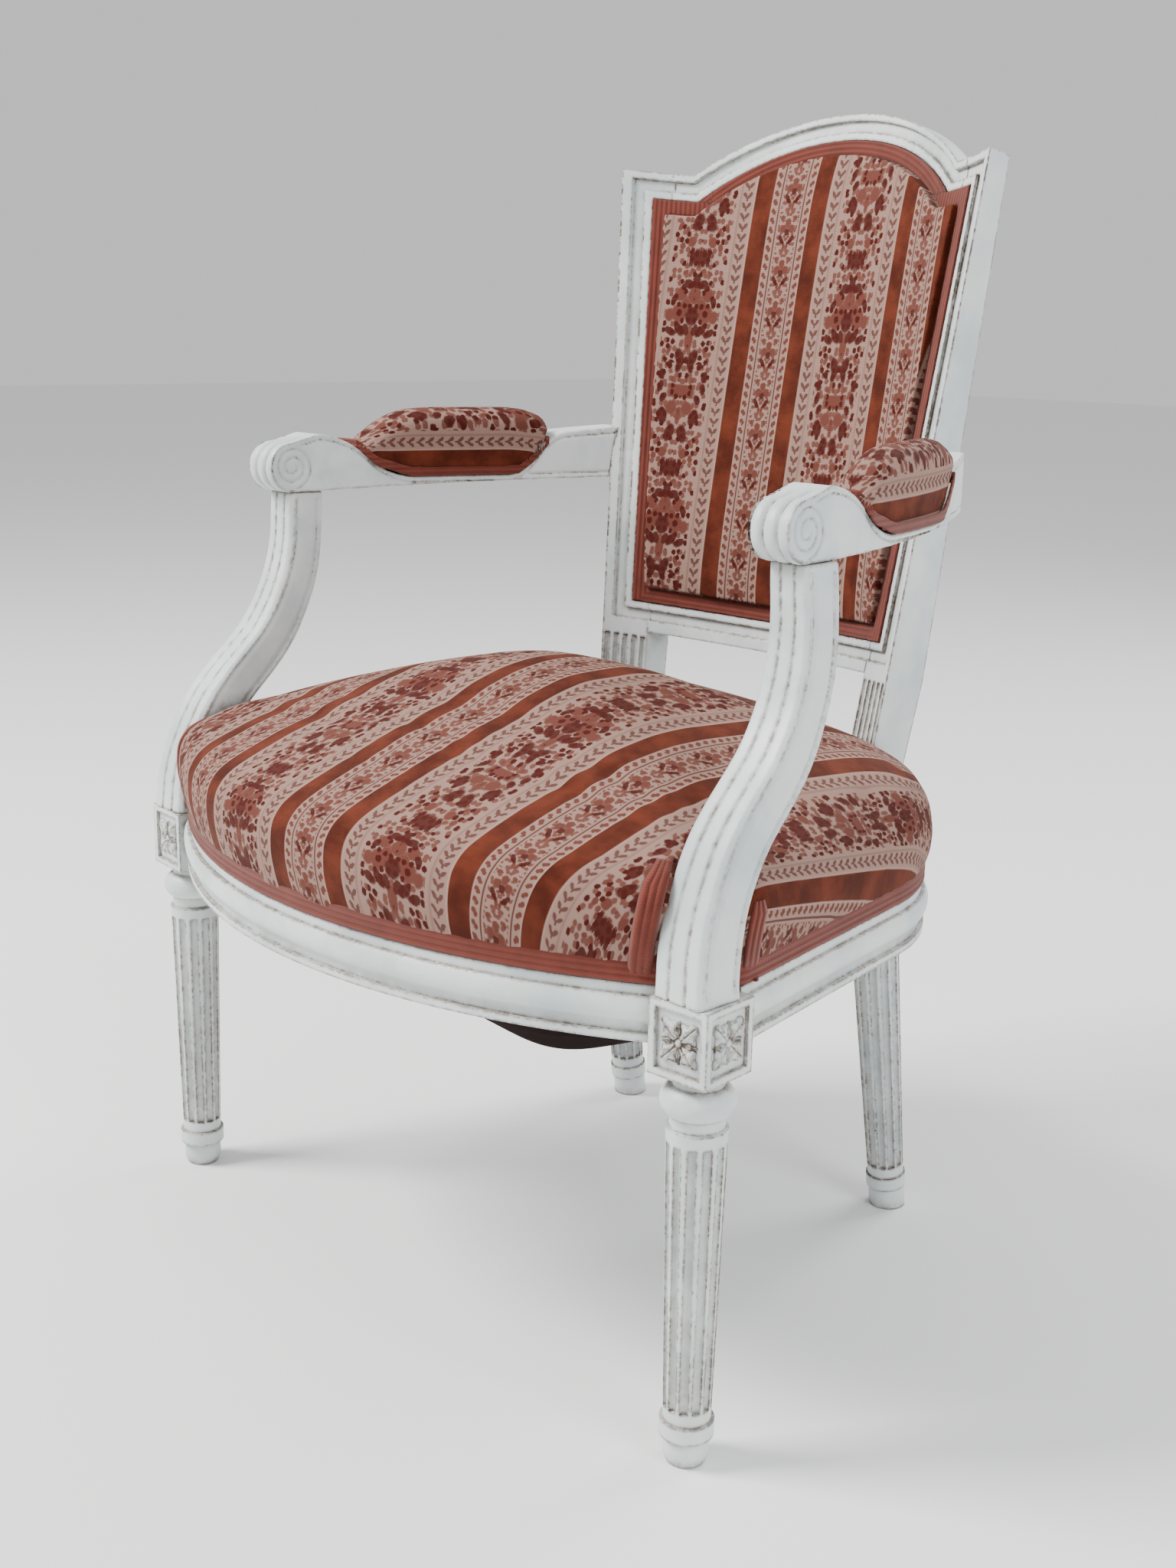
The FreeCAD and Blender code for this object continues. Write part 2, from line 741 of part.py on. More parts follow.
# Arm supports: one S curve of two equal arcs from the leg block to the arm, leaning in a little
def support_stations(grow=0.0):
    """Centre, slope and half sizes of the support's sections, from the block up."""
    start_y = mm("support_start")
    rise_y = mm("support_setback") - start_y
    bend = mm("support_bend_radius")
    swing = math.acos(1 - rise_y / (2 * bend))
    low = float(block_top)
    high = mm("arm_bottom")
    steps = 5
    path = [(start_y, low, 0.0)]
    for step in range(1, steps + 1):
        angle = swing * step / steps
        path.append((start_y + bend * (1 - math.cos(angle)), low + bend * math.sin(angle), angle))
    top_y = mm("support_setback")
    top_z = low + 2 * bend * math.sin(swing)
    for step in range(steps - 1, -1, -1):
        angle = swing * step / steps
        path.append((top_y - bend * (1 - math.cos(angle)), top_z - bend * math.sin(angle), angle))
    path.append((top_y, high, 0.0))
    stations = []
    for y, z, angle in path:
        share = (z - low) / (high - low)
        x = float(front_leg_x) + (mm("support_top_half_span") - float(front_leg_x)) * share
        width = mm("support_width") + (mm("support_top_width") - mm("support_width")) * share
        depth = mm("support_depth") + (mm("support_top_depth") - mm("support_depth")) * share
        stations.append((point(x, y, z), angle, width / 2 + grow, depth / 2 + grow))
    return stations


def support_section(centre, angle, half_width, half_depth, moulded):
    """Section of the support: a fluted front and rear between rounded edges, or a plain rectangle."""
    back = FreeCAD.Vector(0, math.cos(angle), -math.sin(angle))
    across = FreeCAD.Vector(1, 0, 0)
    if not moulded:
        corners = [(-1, -1), (1, -1), (1, 1), (-1, 1)]
        return polygon_wire([centre + across * (a * half_width) + back * (b * half_depth) for a, b in corners])
    edge = 3.0
    groove = 2.5
    row = [(-1, edge / half_depth), (-1 + edge / half_width, 0), (-0.42, 0), (-0.34, groove / half_depth),
           (-0.26, 0), (0.26, 0), (0.34, groove / half_depth), (0.42, 0), (1 - edge / half_width, 0),
           (1, edge / half_depth)]
    corners = [(a, -1 + b) for a, b in row] + [(a, 1 - b) for a, b in reversed(row)]
    return polygon_wire([centre + across * (a * half_width) + back * (b * half_depth) for a, b in corners])


def support_form(grow=0.0, moulded=True):
    """The arm support as a solid, or the space that it needs."""
    wires = [support_section(*station, moulded) for station in support_stations(grow)]
    return Part.makeLoft(wires, True, False)


support_space = support_form(1.0, False)
foot_tenon_side = mm("support_width") * 0.4


def support_foot(slack):
    """Square tenon under the support, or its mortise in the leg block."""
    side = foot_tenon_side + slack * 2
    deep = mm("support_tenon_length") + slack
    low = float(block_top) - deep
    # It stands outside the rails' tenons, which fill the inner half of the block
    centre = point(front_leg_x + 1.5, size("support_start") + 2, low)
    corner = centre - point(side / 2, side / 2)
    return Part.makeBox(side, side, deep + 2 * (1 if slack == 0 else 0), corner)


def support_head(slack):
    """Round tenon on top of the support, or its hole in the arm."""
    top = support_stations()[-1][0]
    radius = mm("support_tenon_radius") + slack
    return Part.makeCylinder(radius, mm("support_tenon_length") + slack + 2, top - point(0, 0, 2))


support = support_form().fuse(support_foot(0)).fuse(support_head(0))
keep("arm_support_right", feature("ArmSupport", support.removeSplitter()))

# Pegs that lock the seat frame's tenons, driven from inside the frame
peg_half_gap = mm("tenon_height") * 0.25


def peg_shapes():
    """Pegs of the right half: one through each tenon."""
    middle = float(rail_bottom) + float(face_height) / 2
    depth_in = mm("tenon_length") / 2
    joints = []
    joints.append((float(joint_x) + depth_in, float(half_block), point(0, -1), middle + peg_half_gap))
    joints.append((float(front_leg_x) - float(half_block), float(half_block) - depth_in, point(1, 0),
                   middle - peg_half_gap))
    shapes = []
    for x, y, way, z in joints:
        shapes.append(Part.makeCylinder(mm("peg_radius"), mm("peg_length"), point(x, y, z), way))
    lead_angle = math.radians(mm("corner_lead"))
    out = point(math.sin(lead_angle), math.cos(lead_angle))
    for side in (1, -1):
        joint = point(*post_root(side))
        tangent = point(-side * math.cos(lead_angle), side * math.sin(lead_angle))
        spot = joint + tangent * depth_in - out * float(post_inner) + point(0, 0, middle)
        shapes.append(Part.makeCylinder(mm("peg_radius"), mm("peg_length"), spot, out))
    return shapes


right_pegs = peg_shapes()
left_pegs = [peg.mirror(FreeCAD.Vector(), FreeCAD.Vector(1, 0, 0)) for peg in right_pegs]
all_pegs = Part.makeCompound(right_pegs + left_pegs)
peg_group = feature("PegHoles", all_pegs)
keep("seat_frame_pegs", feature("SeatFramePegs", all_pegs.copy()))

leg_right = cut("FrontLegRight", leg_body, [front_mortise, side_mortise, feature("SupportMortise",
                                                                                  support_foot(CLEAR)), peg_group])
keep("front_leg_right", leg_right)
keep("front_leg_left", mirror("FrontLegLeft", leg_right))


# Back frame: a leaning cylinder, hollow side forward, in a frame of its own
def back_frame(shape):
    """Move a shape from the back's own frame to the chair: X across, Y through the back, Z up its slope."""
    moved = shape.copy()
    spin = FreeCAD.Rotation(FreeCAD.Vector(1, 0, 0), -mm("back_rake"))
    moved.Placement = FreeCAD.Placement(point(0, mm("back_joint_setback"), mm("back_joint_height")), spin)
    return moved


BACK_RADIUS = mm("back_radius")
BACK_REACH = 700.0


def back_cylinder(radius, low=-200.0, high=600.0):
    """Solid cylinder about the back's axis, which stands in front of the sitter."""
    return Part.makeCylinder(radius, high - low, point(0, -BACK_RADIUS, low))


def back_ring(inner, outer):
    """Wall between two radii, measured from the front surface of the back."""
    return back_cylinder(BACK_RADIUS + outer).cut(back_cylinder(BACK_RADIUS + inner))


def outer_x(height):
    """Half width of the back at a height up its slope."""
    return mm("frame_bottom_half_width") + mm("frame_flare") * height


def front_y(x):
    """Front surface of the back at a distance from its middle."""
    return math.sqrt(BACK_RADIUS ** 2 - x * x) - BACK_RADIUS


def opening_wire(grow):
    """Outline of the upholstered panel, grown outwards by a distance: straight foot and sides, square
    shoulders and an arched top."""
    low = mm("lower_rail_height") - grow
    shoulder = mm("frame_height") - mm("shoulder_drop") + grow
    edge = mm("stile_face_width") - grow
    arch = mm("crest_radius") - mm("crest_face_width") + grow
    arch_z = mm("crest_height") - mm("crest_radius")
    half_arch = math.sqrt(arch ** 2 - (shoulder - arch_z) ** 2)
    corners = [(outer_x(low) - edge, low), (outer_x(shoulder) - edge, shoulder), (half_arch, shoulder)]
    right = [point(x, 0, z) for x, z in corners]
    left_side = [point(-spot.x, 0, spot.z) for spot in reversed(right)]
    edges = [Part.makeLine(right[0], right[1]), Part.makeLine(right[1], right[2])]
    edges.append(Part.Arc(right[2], point(0, 0, arch_z + arch), left_side[0]).toShape())
    edges += [Part.makeLine(left_side[0], left_side[1]), Part.makeLine(left_side[1], left_side[2])]
    edges.append(Part.makeLine(left_side[2], right[0]))
    return Part.Wire(edges)


def through_back(wire):
    """A flat outline of the back, carried right through it."""
    solid = Part.Face(wire).extrude(point(0, BACK_REACH))
    solid.translate(point(0, -BACK_REACH / 2))
    return solid


def opening(grow):
    """The panel's outline carried through the back."""
    return through_back(opening_wire(grow))


frame_hole = opening(-mm("ledge_width"))
ledge_cut = opening(0).common(back_cylinder(BACK_RADIUS + mm("ledge_depth")))
groove_outer = mm("stile_face_width") * 0.68
groove_inner = mm("stile_face_width") * 0.27
groove_cut = opening(groove_outer).cut(opening(groove_inner)).common(
    back_cylinder(BACK_RADIUS + mm("groove_depth")))
frame_cuts = [frame_hole, ledge_cut, groove_cut, back_cylinder(BACK_RADIUS)]

stile_low = -(mm("back_joint_height") - float(rail_top)) / math.cos(math.radians(mm("back_rake")))
stile_high = mm("frame_height")
stile_outline = [point(outer_x(z) - edge, 0, z) for z, edge in (
    (stile_low, mm("stile_width")), (stile_low, 0), (stile_high, 0), (stile_high, mm("stile_width")))]
stile_prism = through_back(polygon_wire(stile_outline))
depth_low = front_y(outer_x(0)) + mm("stile_depth")
depth_high = front_y(outer_x(stile_high)) + mm("stile_top_depth")
wedge = prism([point(0, -BACK_RADIUS / 2, stile_low), point(0, depth_low, stile_low), point(0, depth_low, 0),
               point(0, depth_high, stile_high), point(0, -BACK_RADIUS / 2, stile_high)], point(BACK_RADIUS, 0))
stile_stock = stile_prism.common(wedge).fuse(stile_prism.common(
    back_cylinder(BACK_RADIUS + mm("back_thickness")))).cut(back_cylinder(BACK_RADIUS))
stile = stile_stock
for tool in frame_cuts:
    stile = stile.cut(tool)
# Fluted foot of the stile, below the joint line
for step in range(5):
    share = (step + 0.5) / 5
    flute_low = stile_low + mm("flute_margin")
    x_low = outer_x(flute_low) - mm("stile_width") * (1 - share)
    x_high = outer_x(-mm("flute_margin")) - mm("stile_width") * (1 - share)
    foot_point = point(x_low, front_y(x_low), flute_low)
    head_point = point(x_high, front_y(x_high), -mm("flute_margin") / 2)
    run = head_point - foot_point
    stile = stile.cut(Part.makeCylinder(mm("flute_radius") * 0.8, run.Length, foot_point, run))


def member_tenon(edge_height_low, edge_height_high, slack):
    """Tenons on both ends of a rail of the back, inside its thickness."""
    shapes = []
    margin = 7.0
    low = edge_height_low + margin - slack
    high = edge_height_high - margin + slack
    for side in (1, -1):
        inner_low = outer_x(low) - mm("stile_width") - 6
        inner_high = outer_x(high) - mm("stile_width") - 6
        tip = 6 + mm("tenon_length") + slack
        outline = [point(side * inner_low, 0, low), point(side * (inner_low + tip), 0, low),
                   point(side * (inner_high + tip), 0, high), point(side * inner_high, 0, high)]
        wall = back_ring(mm("ledge_depth") + 1.5 - slack, mm("back_thickness") - 3 + slack)
        shapes.append(through_back(polygon_wire(outline)).common(wall))
    return shapes


shoulder_height = mm("frame_height") - mm("shoulder_drop") - mm("ledge_width")
lower_span = (0.0, mm("lower_rail_height") + mm("ledge_width"))
crest_span = (shoulder_height, mm("frame_height"))
for low, high in (lower_span, crest_span):
    for mortise in member_tenon(low, high, CLEAR):
        stile = stile.cut(mortise)
# Pegs through the tenons of the back, driven from behind
back_pegs = []
for low, high in (lower_span, crest_span):
    level = (low + high) / 2
    for side in (1, -1):
        spot_x = outer_x(level) - mm("stile_width") + mm("tenon_length") / 2
        hole = Part.makeCylinder(mm("peg_radius"), BACK_REACH, point(
            side * spot_x, front_y(spot_x) + mm("ledge_depth") * 0.75, level), point(0, 1))
        if side > 0:
            right_peg = main_solid(hole.common(stile_stock))
            back_pegs.append(right_peg)
            stile = stile.cut(right_peg)
        else:
            back_pegs.append(right_peg.mirror(FreeCAD.Vector(), FreeCAD.Vector(1, 0, 0)))
stile = back_frame(stile)

# A dowel holds each arm to the side of its stile, slanting back into the thick of the stile
dowel_height = mm("arm_bottom") + mm("arm_rise") + mm("arm_rear_height") / 2
dowel_slope = (dowel_height - mm("back_joint_height")) / math.cos(math.radians(mm("back_rake")))
dowel_x = outer_x(dowel_slope)
dowel_y = mm("back_joint_setback") - ARM_SHORTFALL - mm("dowel_radius") * 2
dowel_angle = math.radians(mm("dowel_turn"))
dowel_way = point(-math.cos(dowel_angle), math.sin(dowel_angle))
dowel_middle = point(dowel_x, dowel_y, dowel_height)
dowel = Part.makeCylinder(mm("dowel_radius"), mm("dowel_length"), dowel_middle - dowel_way * (
    mm("dowel_length") / 2), dowel_way)

# Rear leg: turned like the front ones, raked back under its post
rear_foot = point(float(rear_leg_x) + mm("rear_foot_splay"), mm("rear_leg_setback") + mm("rear_foot_rake"))
rear_knee = point(rear_leg_x, size("rear_leg_setback"), rail_bottom)
rear_axis = (rear_knee - rear_foot).normalize()
rear_span = root((size("rear_foot_rake") * size("rear_foot_rake")) + (size("rear_foot_splay") * size(
    "rear_foot_splay")) + (rail_bottom * rail_bottom))
rear_top = rear_span + size("post_block_rise")
rear_foot_top = size("foot_height")
rear_ring_top = rear_foot_top + size("ring_height")
rear_low = size("rear_shaft_radius")
rear_high = size("rear_leg_top_radius")
rear_sole = -size("post_block_rise") / 2
rear_outline = [(0, rear_sole), (size("rear_foot_radius"), rear_sole), (size("rear_foot_radius"), rear_foot_top),
                (size("rear_ring_radius"), rear_foot_top), (size("rear_ring_radius"), rear_ring_top),
                (rear_low, rear_ring_top), (rear_high, rear_span), (rear_high, rear_top), (0, rear_top)]
rear_body = new_body("RearLeg")
rear_sketch = sketch_outline(rear_body, "RearOutline", "XZ_Plane", rear_outline)
add_revolution(rear_body, rear_sketch, "RearTurning")
flute_body(rear_body, rear_low, rear_high, rear_ring_top, rear_span, size("flute_count"))
doc.recompute()
rear_leg = rear_body.Shape.copy()
rear_leg.Placement = FreeCAD.Placement(rear_foot, FreeCAD.Rotation(FreeCAD.Vector(0, 0, 1), rear_axis))
ground = Part.makeBox(2000, 2000, 100, point(-1000, -1000, -100))
# The moulding of the rails runs on across the post's seat block
post_face = side_rail_body.Shape.common(post_space.Shape).fuse(rear_rail_body.Shape.common(post_space.Shape))
post = rear_leg.cut(ground).fuse(post_core.Shape).fuse(post_face).fuse(stile)
for tool in [corner_mortise.Shape, rear_mortise.Shape, dowel] + right_pegs:
    post = post.cut(tool)

# Rails of the seat, cut to the blocks and tenoned into them
def fitted_rail(body, spaces, tenons, pegs):
    """A rail between its blocks, with its tenons, drilled for their pegs."""
    shape = body.Shape.copy()
    for space in spaces:
        shape = shape.cut(space.Shape)
    for tenon in tenons:
        shape = shape.fuse(tenon.Shape)
    for peg in pegs:
        shape = shape.cut(peg)
    return shape


front_rail = fitted_rail(front_rail_body, [front_cutter, front_cutter_left], [front_tenon, front_tenon_left],
                         right_pegs + left_pegs)
side_rail = fitted_rail(side_rail_body, [front_cutter, post_space], [side_tenon, corner_tenon], right_pegs)
rear_rail = fitted_rail(rear_rail_body, [post_space, post_space_left], [rear_tenon, rear_tenon_left],
                        right_pegs + left_pegs)
keep("rear_rail", feature("RearRail", rear_rail))
rear_post = keep("rear_post_right", feature("RearPostRight", post.removeSplitter()))
keep("rear_post_left", mirror("RearPostLeft", rear_post))

# Corner braces: wooden blocks glued and screwed into the corners of the seat frame
BRACE_LOW = float(rail_bottom) + 8


def brace(corner, first, second):
    """A three-cornered block filling a corner of the seat frame, from its outer corner along two arms."""
    outline = [corner, corner + first, corner + second]
    return prism([spot + point(0, 0, BRACE_LOW) for spot in outline], point(0, 0, mm("brace_thickness")))


def screw(spot, way):
    """A countersunk wood screw: head outwards, running along its way."""
    shank = Part.makeCylinder(mm("screw_radius"), mm("screw_length"), spot, way)
    head = Part.makeCone(mm("screw_radius") * 2, mm("screw_radius"), mm("screw_radius") * 1.5, spot, way)
    return shank.fuse(head)


brace_leg = mm("brace_leg")
front_corner = point(float(joint_x) + 6, float(half_block) + 6)
front_brace = brace(front_corner, point(-brace_leg * 1.3, -brace_leg * 0.55), point(brace_leg * 0.2, brace_leg * 1.1))
post_corner = point(*post_root(0))
rear_brace = brace(post_corner, point(brace_leg * 0.75, -brace_leg * 1.25), point(-brace_leg * 1.5, 0))
rear_brace = rear_brace.cut(rear_leg)
brace_tools = [post, rear_rail, side_rail, front_rail, leg_right.Shape, post_space.Shape, front_cutter.Shape]
for tool in brace_tools + right_pegs:
    front_brace = front_brace.cut(tool)
    rear_brace = rear_brace.cut(tool)


front_brace = main_solid(front_brace)
rear_brace = main_solid(rear_brace)
screws = []
for block, ways in ((front_brace, (point(0.25, -1), point(1, 0.1))), (rear_brace, (point(-0.1, 1), point(1, 0.45)))):
    for way in ways:
        way.normalize()
        middle = block.CenterOfMass
        line = Part.makeLine(middle - way * 200, middle + way * 200)
        inside = block.common(line)
        start = min((vertex.Point for vertex in inside.Vertexes), key=lambda spot: spot.dot(way))
        lift = 5 if way.y < -0.5 or way.y > 0.5 else -5
        screws.append(screw(start + point(0, 0, lift), way))
left_screws = [one.mirror(FreeCAD.Vector(), FreeCAD.Vector(1, 0, 0)) for one in screws]
for one in screws:
    front_brace = front_brace.cut(one)
    rear_brace = rear_brace.cut(one)
    side_rail = side_rail.cut(one)
    post = post.cut(one)
rear_post.Shape = post.removeSplitter()
for one in screws + left_screws:
    front_rail = front_rail.cut(one)
    rear_rail = rear_rail.cut(one)
pieces["rear_rail"].Shape = rear_rail
keep("front_rail", feature("FrontRail", front_rail))
side_right = keep("side_rail_right", feature("SideRailRight", side_rail))
keep("side_rail_left", mirror("SideRailLeft", side_right))
brace_front = keep("corner_brace_front_right", feature("BraceFrontRight", front_brace))
keep("corner_brace_front_left", mirror("BraceFrontLeft", brace_front))
brace_rear = keep("corner_brace_rear_right", feature("BraceRearRight", rear_brace))
keep("corner_brace_rear_left", mirror("BraceRearLeft", brace_rear))
keep("brace_screws", feature("BraceScrews", Part.makeCompound(screws + left_screws)))


# Crest rail and lower rail of the back
def back_member(outline, spans):
    """A rail of the back: its outline through the back's wall, rebated, grooved and tenoned."""
    shape = through_back(outline).common(back_ring(0, mm("back_thickness")))
    for tool in frame_cuts[:3]:
        shape = shape.cut(tool)
    shape = main_solid(shape)
    for tenon in member_tenon(spans[0], spans[1], 0):
        shape = shape.fuse(tenon)
    for peg in back_pegs:
        shape = shape.cut(peg)
    return back_frame(shape)


def inner_x(height):
    """Half distance between the stiles."""
    return outer_x(height) - mm("stile_width")


arch_centre = mm("crest_height") - mm("crest_radius")
half_crest = math.sqrt(mm("crest_radius") ** 2 - (mm("frame_height") - arch_centre) ** 2)
crest_foot = crest_span[0]
crest_corners = [point(inner_x(crest_foot), 0, crest_foot), point(inner_x(crest_span[1]), 0, crest_span[1]),
                 point(half_crest, 0, crest_span[1])]
crest_left = [point(-spot.x, 0, spot.z) for spot in reversed(crest_corners)]
crest_edges = [Part.makeLine(crest_corners[0], crest_corners[1]), Part.makeLine(crest_corners[1], crest_corners[2]),
               Part.Arc(crest_corners[2], point(0, 0, mm("crest_height")), crest_left[0]).toShape(),
               Part.makeLine(crest_left[0], crest_left[1]), Part.makeLine(crest_left[1], crest_left[2]),
               Part.makeLine(crest_left[2], crest_corners[0])]
keep("crest_rail", feature("CrestRail", back_member(Part.Wire(crest_edges), crest_span)))
lower_corners = [point(-inner_x(lower_span[0]), 0, lower_span[0]), point(inner_x(lower_span[0]), 0, lower_span[0]),
                 point(inner_x(lower_span[1]), 0, lower_span[1]), point(-inner_x(lower_span[1]), 0, lower_span[1])]
keep("lower_back_rail", feature("LowerBackRail", back_member(polygon_wire(lower_corners), lower_span)))

# Arms: bowed in plan, with a scroll in front, a dip for the pad and a plain rear run into the stile
arm_low = size("arm_bottom")
arm_high_rear = arm_low + size("arm_rise") + size("arm_rear_height")
arm_rear_y = size("back_joint_setback") - ARM_SHORTFALL
scroll = size("scroll_radius")
scroll_y = size("arm_tip_reach") + scroll
peak_y = size("arm_peak_setback")
peak_z = arm_low + size("arm_peak_height")
dip_z = arm_low + size("dip_height")
fall_y = (size("dip_front") - peak_y) / 2
fall_z = (peak_z - dip_z) / 2
rise_y = size("dip_rear")
rise_run = size("arm_pad_height") / 3
arm_profile = [
    (scroll_y, arm_low),
    (arm_rear_y, arm_low + size("arm_rise")),
    (arm_rear_y, arm_high_rear),
    (rise_y + 2 * rise_run, arm_high_rear - 5, rise_run * 1.6, -1),
    (rise_y + rise_run, (arm_high_rear - 5 + dip_z) / 2, rise_run * 1.6, 1),
    (rise_y, dip_z),
    (size("dip_front"), dip_z, fall_y * 1.6, 1),
    (peak_y + fall_y, dip_z + fall_z, fall_y * 1.6, -1),
    (peak_y, peak_z),
    (scroll_y, arm_low + scroll * 2, scroll, -1),
    (scroll_y - scroll, arm_low + scroll, scroll, -1),
]
arm_run_x = size("arm_front_half_span") - size("arm_rear_half_span")
arm_run_y = arm_rear_y - size("arm_tip_reach")
arm_chord_square = arm_run_x * arm_run_x + arm_run_y * arm_run_y
arm_bow_radius = (arm_chord_square / 4 + size("arm_bow") * size("arm_bow")) / (size("arm_bow") * 2)
arm_inner_front = size("arm_front_half_span") - size("arm_width")
arm_inner_rear = size("arm_rear_half_span") - size("arm_width")
arm_plan = [
    (arm_inner_front, size("arm_tip_reach")),
    (size("arm_front_half_span"), size("arm_tip_reach"), arm_bow_radius, -1),
    (size("arm_rear_half_span"), arm_rear_y),
    (arm_inner_rear, arm_rear_y, arm_bow_radius, 1),
]
arm_body = new_body("ArmBlank")
plan_sketch = sketch_outline(arm_body, "ArmPlan", "XY_Plane", arm_plan, arm_low - 1)
add_pad(arm_body, plan_sketch, "ArmBlankPad", size("arm_pad_height"))
profile_body = new_body("ArmProfile")
profile_sketch = sketch_outline(profile_body, "ArmSide", "YZ_Plane", arm_profile)
add_pad(profile_body, profile_sketch, "ArmSidePad", size("arm_front_half_span") + size("arm_width"))
doc.recompute()
arm_common = doc.addObject("Part::Common", "ArmShape")
arm_common.Base = arm_body
arm_common.Tool = profile_body
arm_right = cut("ArmRight", arm_common, [feature("StileSpace", back_frame(stile_stock)), feature("SupportHeadHole", support_head(CLEAR)),
                                          feature("DowelHole", dowel)])
keep("arm_right", arm_right)
keep("arm_left", mirror("ArmLeft", arm_right))
keep("arm_support_left", mirror("ArmSupportLeft", pieces["arm_support_right"]))
dowel_left = dowel.mirror(FreeCAD.Vector(), FreeCAD.Vector(1, 0, 0))
keep("arm_dowels", feature("ArmDowels", Part.makeCompound([dowel, dowel_left])))
keep("back_frame_pegs", feature("BackFramePegs", Part.makeCompound([back_frame(peg) for peg in back_pegs])))
doc.recompute()


# Spaces that the upholstery keeps clear of: blocks, supports, posts and stiles
def both(shape):
    """A right-hand shape with its left-hand twin."""
    return [shape, shape.mirror(FreeCAD.Vector(), FreeCAD.Vector(1, 0, 0))]


def stile_room():
    """Room for a stile, from its front surface backwards."""
    low = stile_low - 60
    high = stile_high
    outline = [point(outer_x(z) - edge, 0, z) for z, edge in (
        (low, mm("stile_width") + CLEAR), (low, -CLEAR), (high, -CLEAR), (high, mm("stile_width") + CLEAR))]
    return back_frame(through_back(polygon_wire(outline)).cut(back_cylinder(BACK_RADIUS - CLEAR)))


post_room = box("PostRoom", (size("post_block_width") + 2 * size("clearance"), size("post_block_depth") * 2,
                             size("post_block_rise") + rail_top - rail_bottom + size("clearance")),
                (-half_post - size("clearance"), -post_inner - size("clearance"), rail_bottom), -lead,
                (rear_leg_x, size("rear_leg_setback")))
block_room = box("BlockRoom", (size("block_width") + 2 * size("clearance"), size("block_width") + 2 * size(
    "clearance"), block_top + size("clearance")), (-half_block - size("clearance"), -half_block - size(
        "clearance"), 0), size("block_turn"), (front_leg_x, as_size(0)))
doc.recompute()
leg_room = Part.makeCylinder(mm("rear_leg_top_radius") + CLEAR * 2, float(rail_bottom), rear_foot, rear_axis)
seat_rooms = []
for room in (support_space, stile_room(), post_room.Shape, block_room.Shape, leg_room):
    seat_rooms += both(room)


def around_joinery(shape):
    """A piece of the seat's upholstery, cut clear of the legs, supports and posts."""
    for room in seat_rooms:
        shape = shape.cut(room)
    return shape


# Webbing: straps from front to rear under the rails, and straps across them
web_top = float(rail_bottom) - CLEAR
web_low = web_top - mm("webbing_thickness")
cross_top = web_low - CLEAR
cross_low = cross_top - mm("webbing_thickness")
half_web = mm("webbing_width") / 2
long_span = seat_slab(float(half_rail), web_low, web_top)
cross_span = seat_slab(float(half_rail), cross_low, cross_top)
straps = []
for step in (-1.5, -0.5, 0.5, 1.5):
    x = step * mm("webbing_pitch")
    strap = Part.makeBox(2 * half_web, BACK_REACH, 30, point(x - half_web, -BACK_REACH / 2 + 150, web_low - 10))
    straps.append(main_solid(strap.common(long_span)))
for step in range(4):
    y = mm("webbing_front") + step * mm("webbing_pitch")
    strap = Part.makeBox(BACK_REACH * 1.2, 2 * half_web, 30, point(-BACK_REACH * 0.6, y - half_web, cross_low - 10))
    straps.append(main_solid(strap.common(cross_span)))
keep("seat_webbing", feature("SeatWebbing", Part.makeCompound(straps)))

# Springs: coiled steel wire, standing on the webbing and carrying the canvas
spring_foot = web_top + CLEAR + mm("spring_wire_radius")
spring_head = mm("canvas_height") - CLEAR * 2 - mm("spring_wire_radius")
spring_rise = spring_head - spring_foot
SPRING_STEPS = 8
WIRE_SIDES = 6


def coil_section(turn):
    """Six-sided section of the spring's wire after a number of turns."""
    angle = 2 * math.pi * turn
    out = point(math.cos(angle), math.sin(angle))
    up = point(0, 0, 1)
    centre = out * mm("spring_radius") + up * (spring_rise * turn / mm("spring_turns"))
    corners = []
    for side in range(WIRE_SIDES):
        bearing = 2 * math.pi * side / WIRE_SIDES
        corners.append(centre + (out * math.cos(bearing) + up * math.sin(bearing)) * mm("spring_wire_radius"))
    return polygon_wire(corners)


coil_count = int(mm("spring_turns") * SPRING_STEPS) + 1
spring = Part.makeLoft([coil_section(step / SPRING_STEPS) for step in range(coil_count)], True, True)
springs = []
for column in (-1, 0, 1):
    for row in range(3):
        one = spring.copy()
        one.translate(point(column * mm("spring_pitch"), mm("spring_front") + row * mm("spring_pitch"), spring_foot))
        springs.append(one)
keep("seat_springs", feature("SeatSprings", Part.makeCompound(springs)))

# Canvas stretched over the springs, its edges on the rails
canvas_foot = float(rail_top) + CLEAR
canvas_rise = mm("canvas_height") - canvas_foot
canvas_levels = [(float(half_rail), 0), (mm("rail_thickness") * 1.4, 0.62), (mm("rail_thickness") * 2.6, 0.93),
                 (mm("seat_dome_reach"), 1)]


def canvas_form(lift, sink):
    """Solid under a surface that lies a given height over the canvas's underside."""
    levels = [(inset, canvas_foot + canvas_rise * share + lift) for inset, share in canvas_levels]
    levels = [(levels[0][0], canvas_foot - sink)] + levels
    return seat_form(levels)


canvas = canvas_form(mm("canvas_thickness"), 0).cut(canvas_form(0, 5))
keep("spring_canvas", feature("SpringCanvas", main_solid(around_joinery(canvas))))

# Stuffing and cover of the seat
cover_inset = mm("rebate_depth") - CLEAR - mm("cover_thickness")
gimp_low = float(gimp_bottom) + CLEAR
gimp_high = gimp_low + mm("gimp_width")
WALL_STEPS = 3
SHOULDER_STEPS = 4
SHOULDER_TURN = 65.0
DOME_STEPS = 6


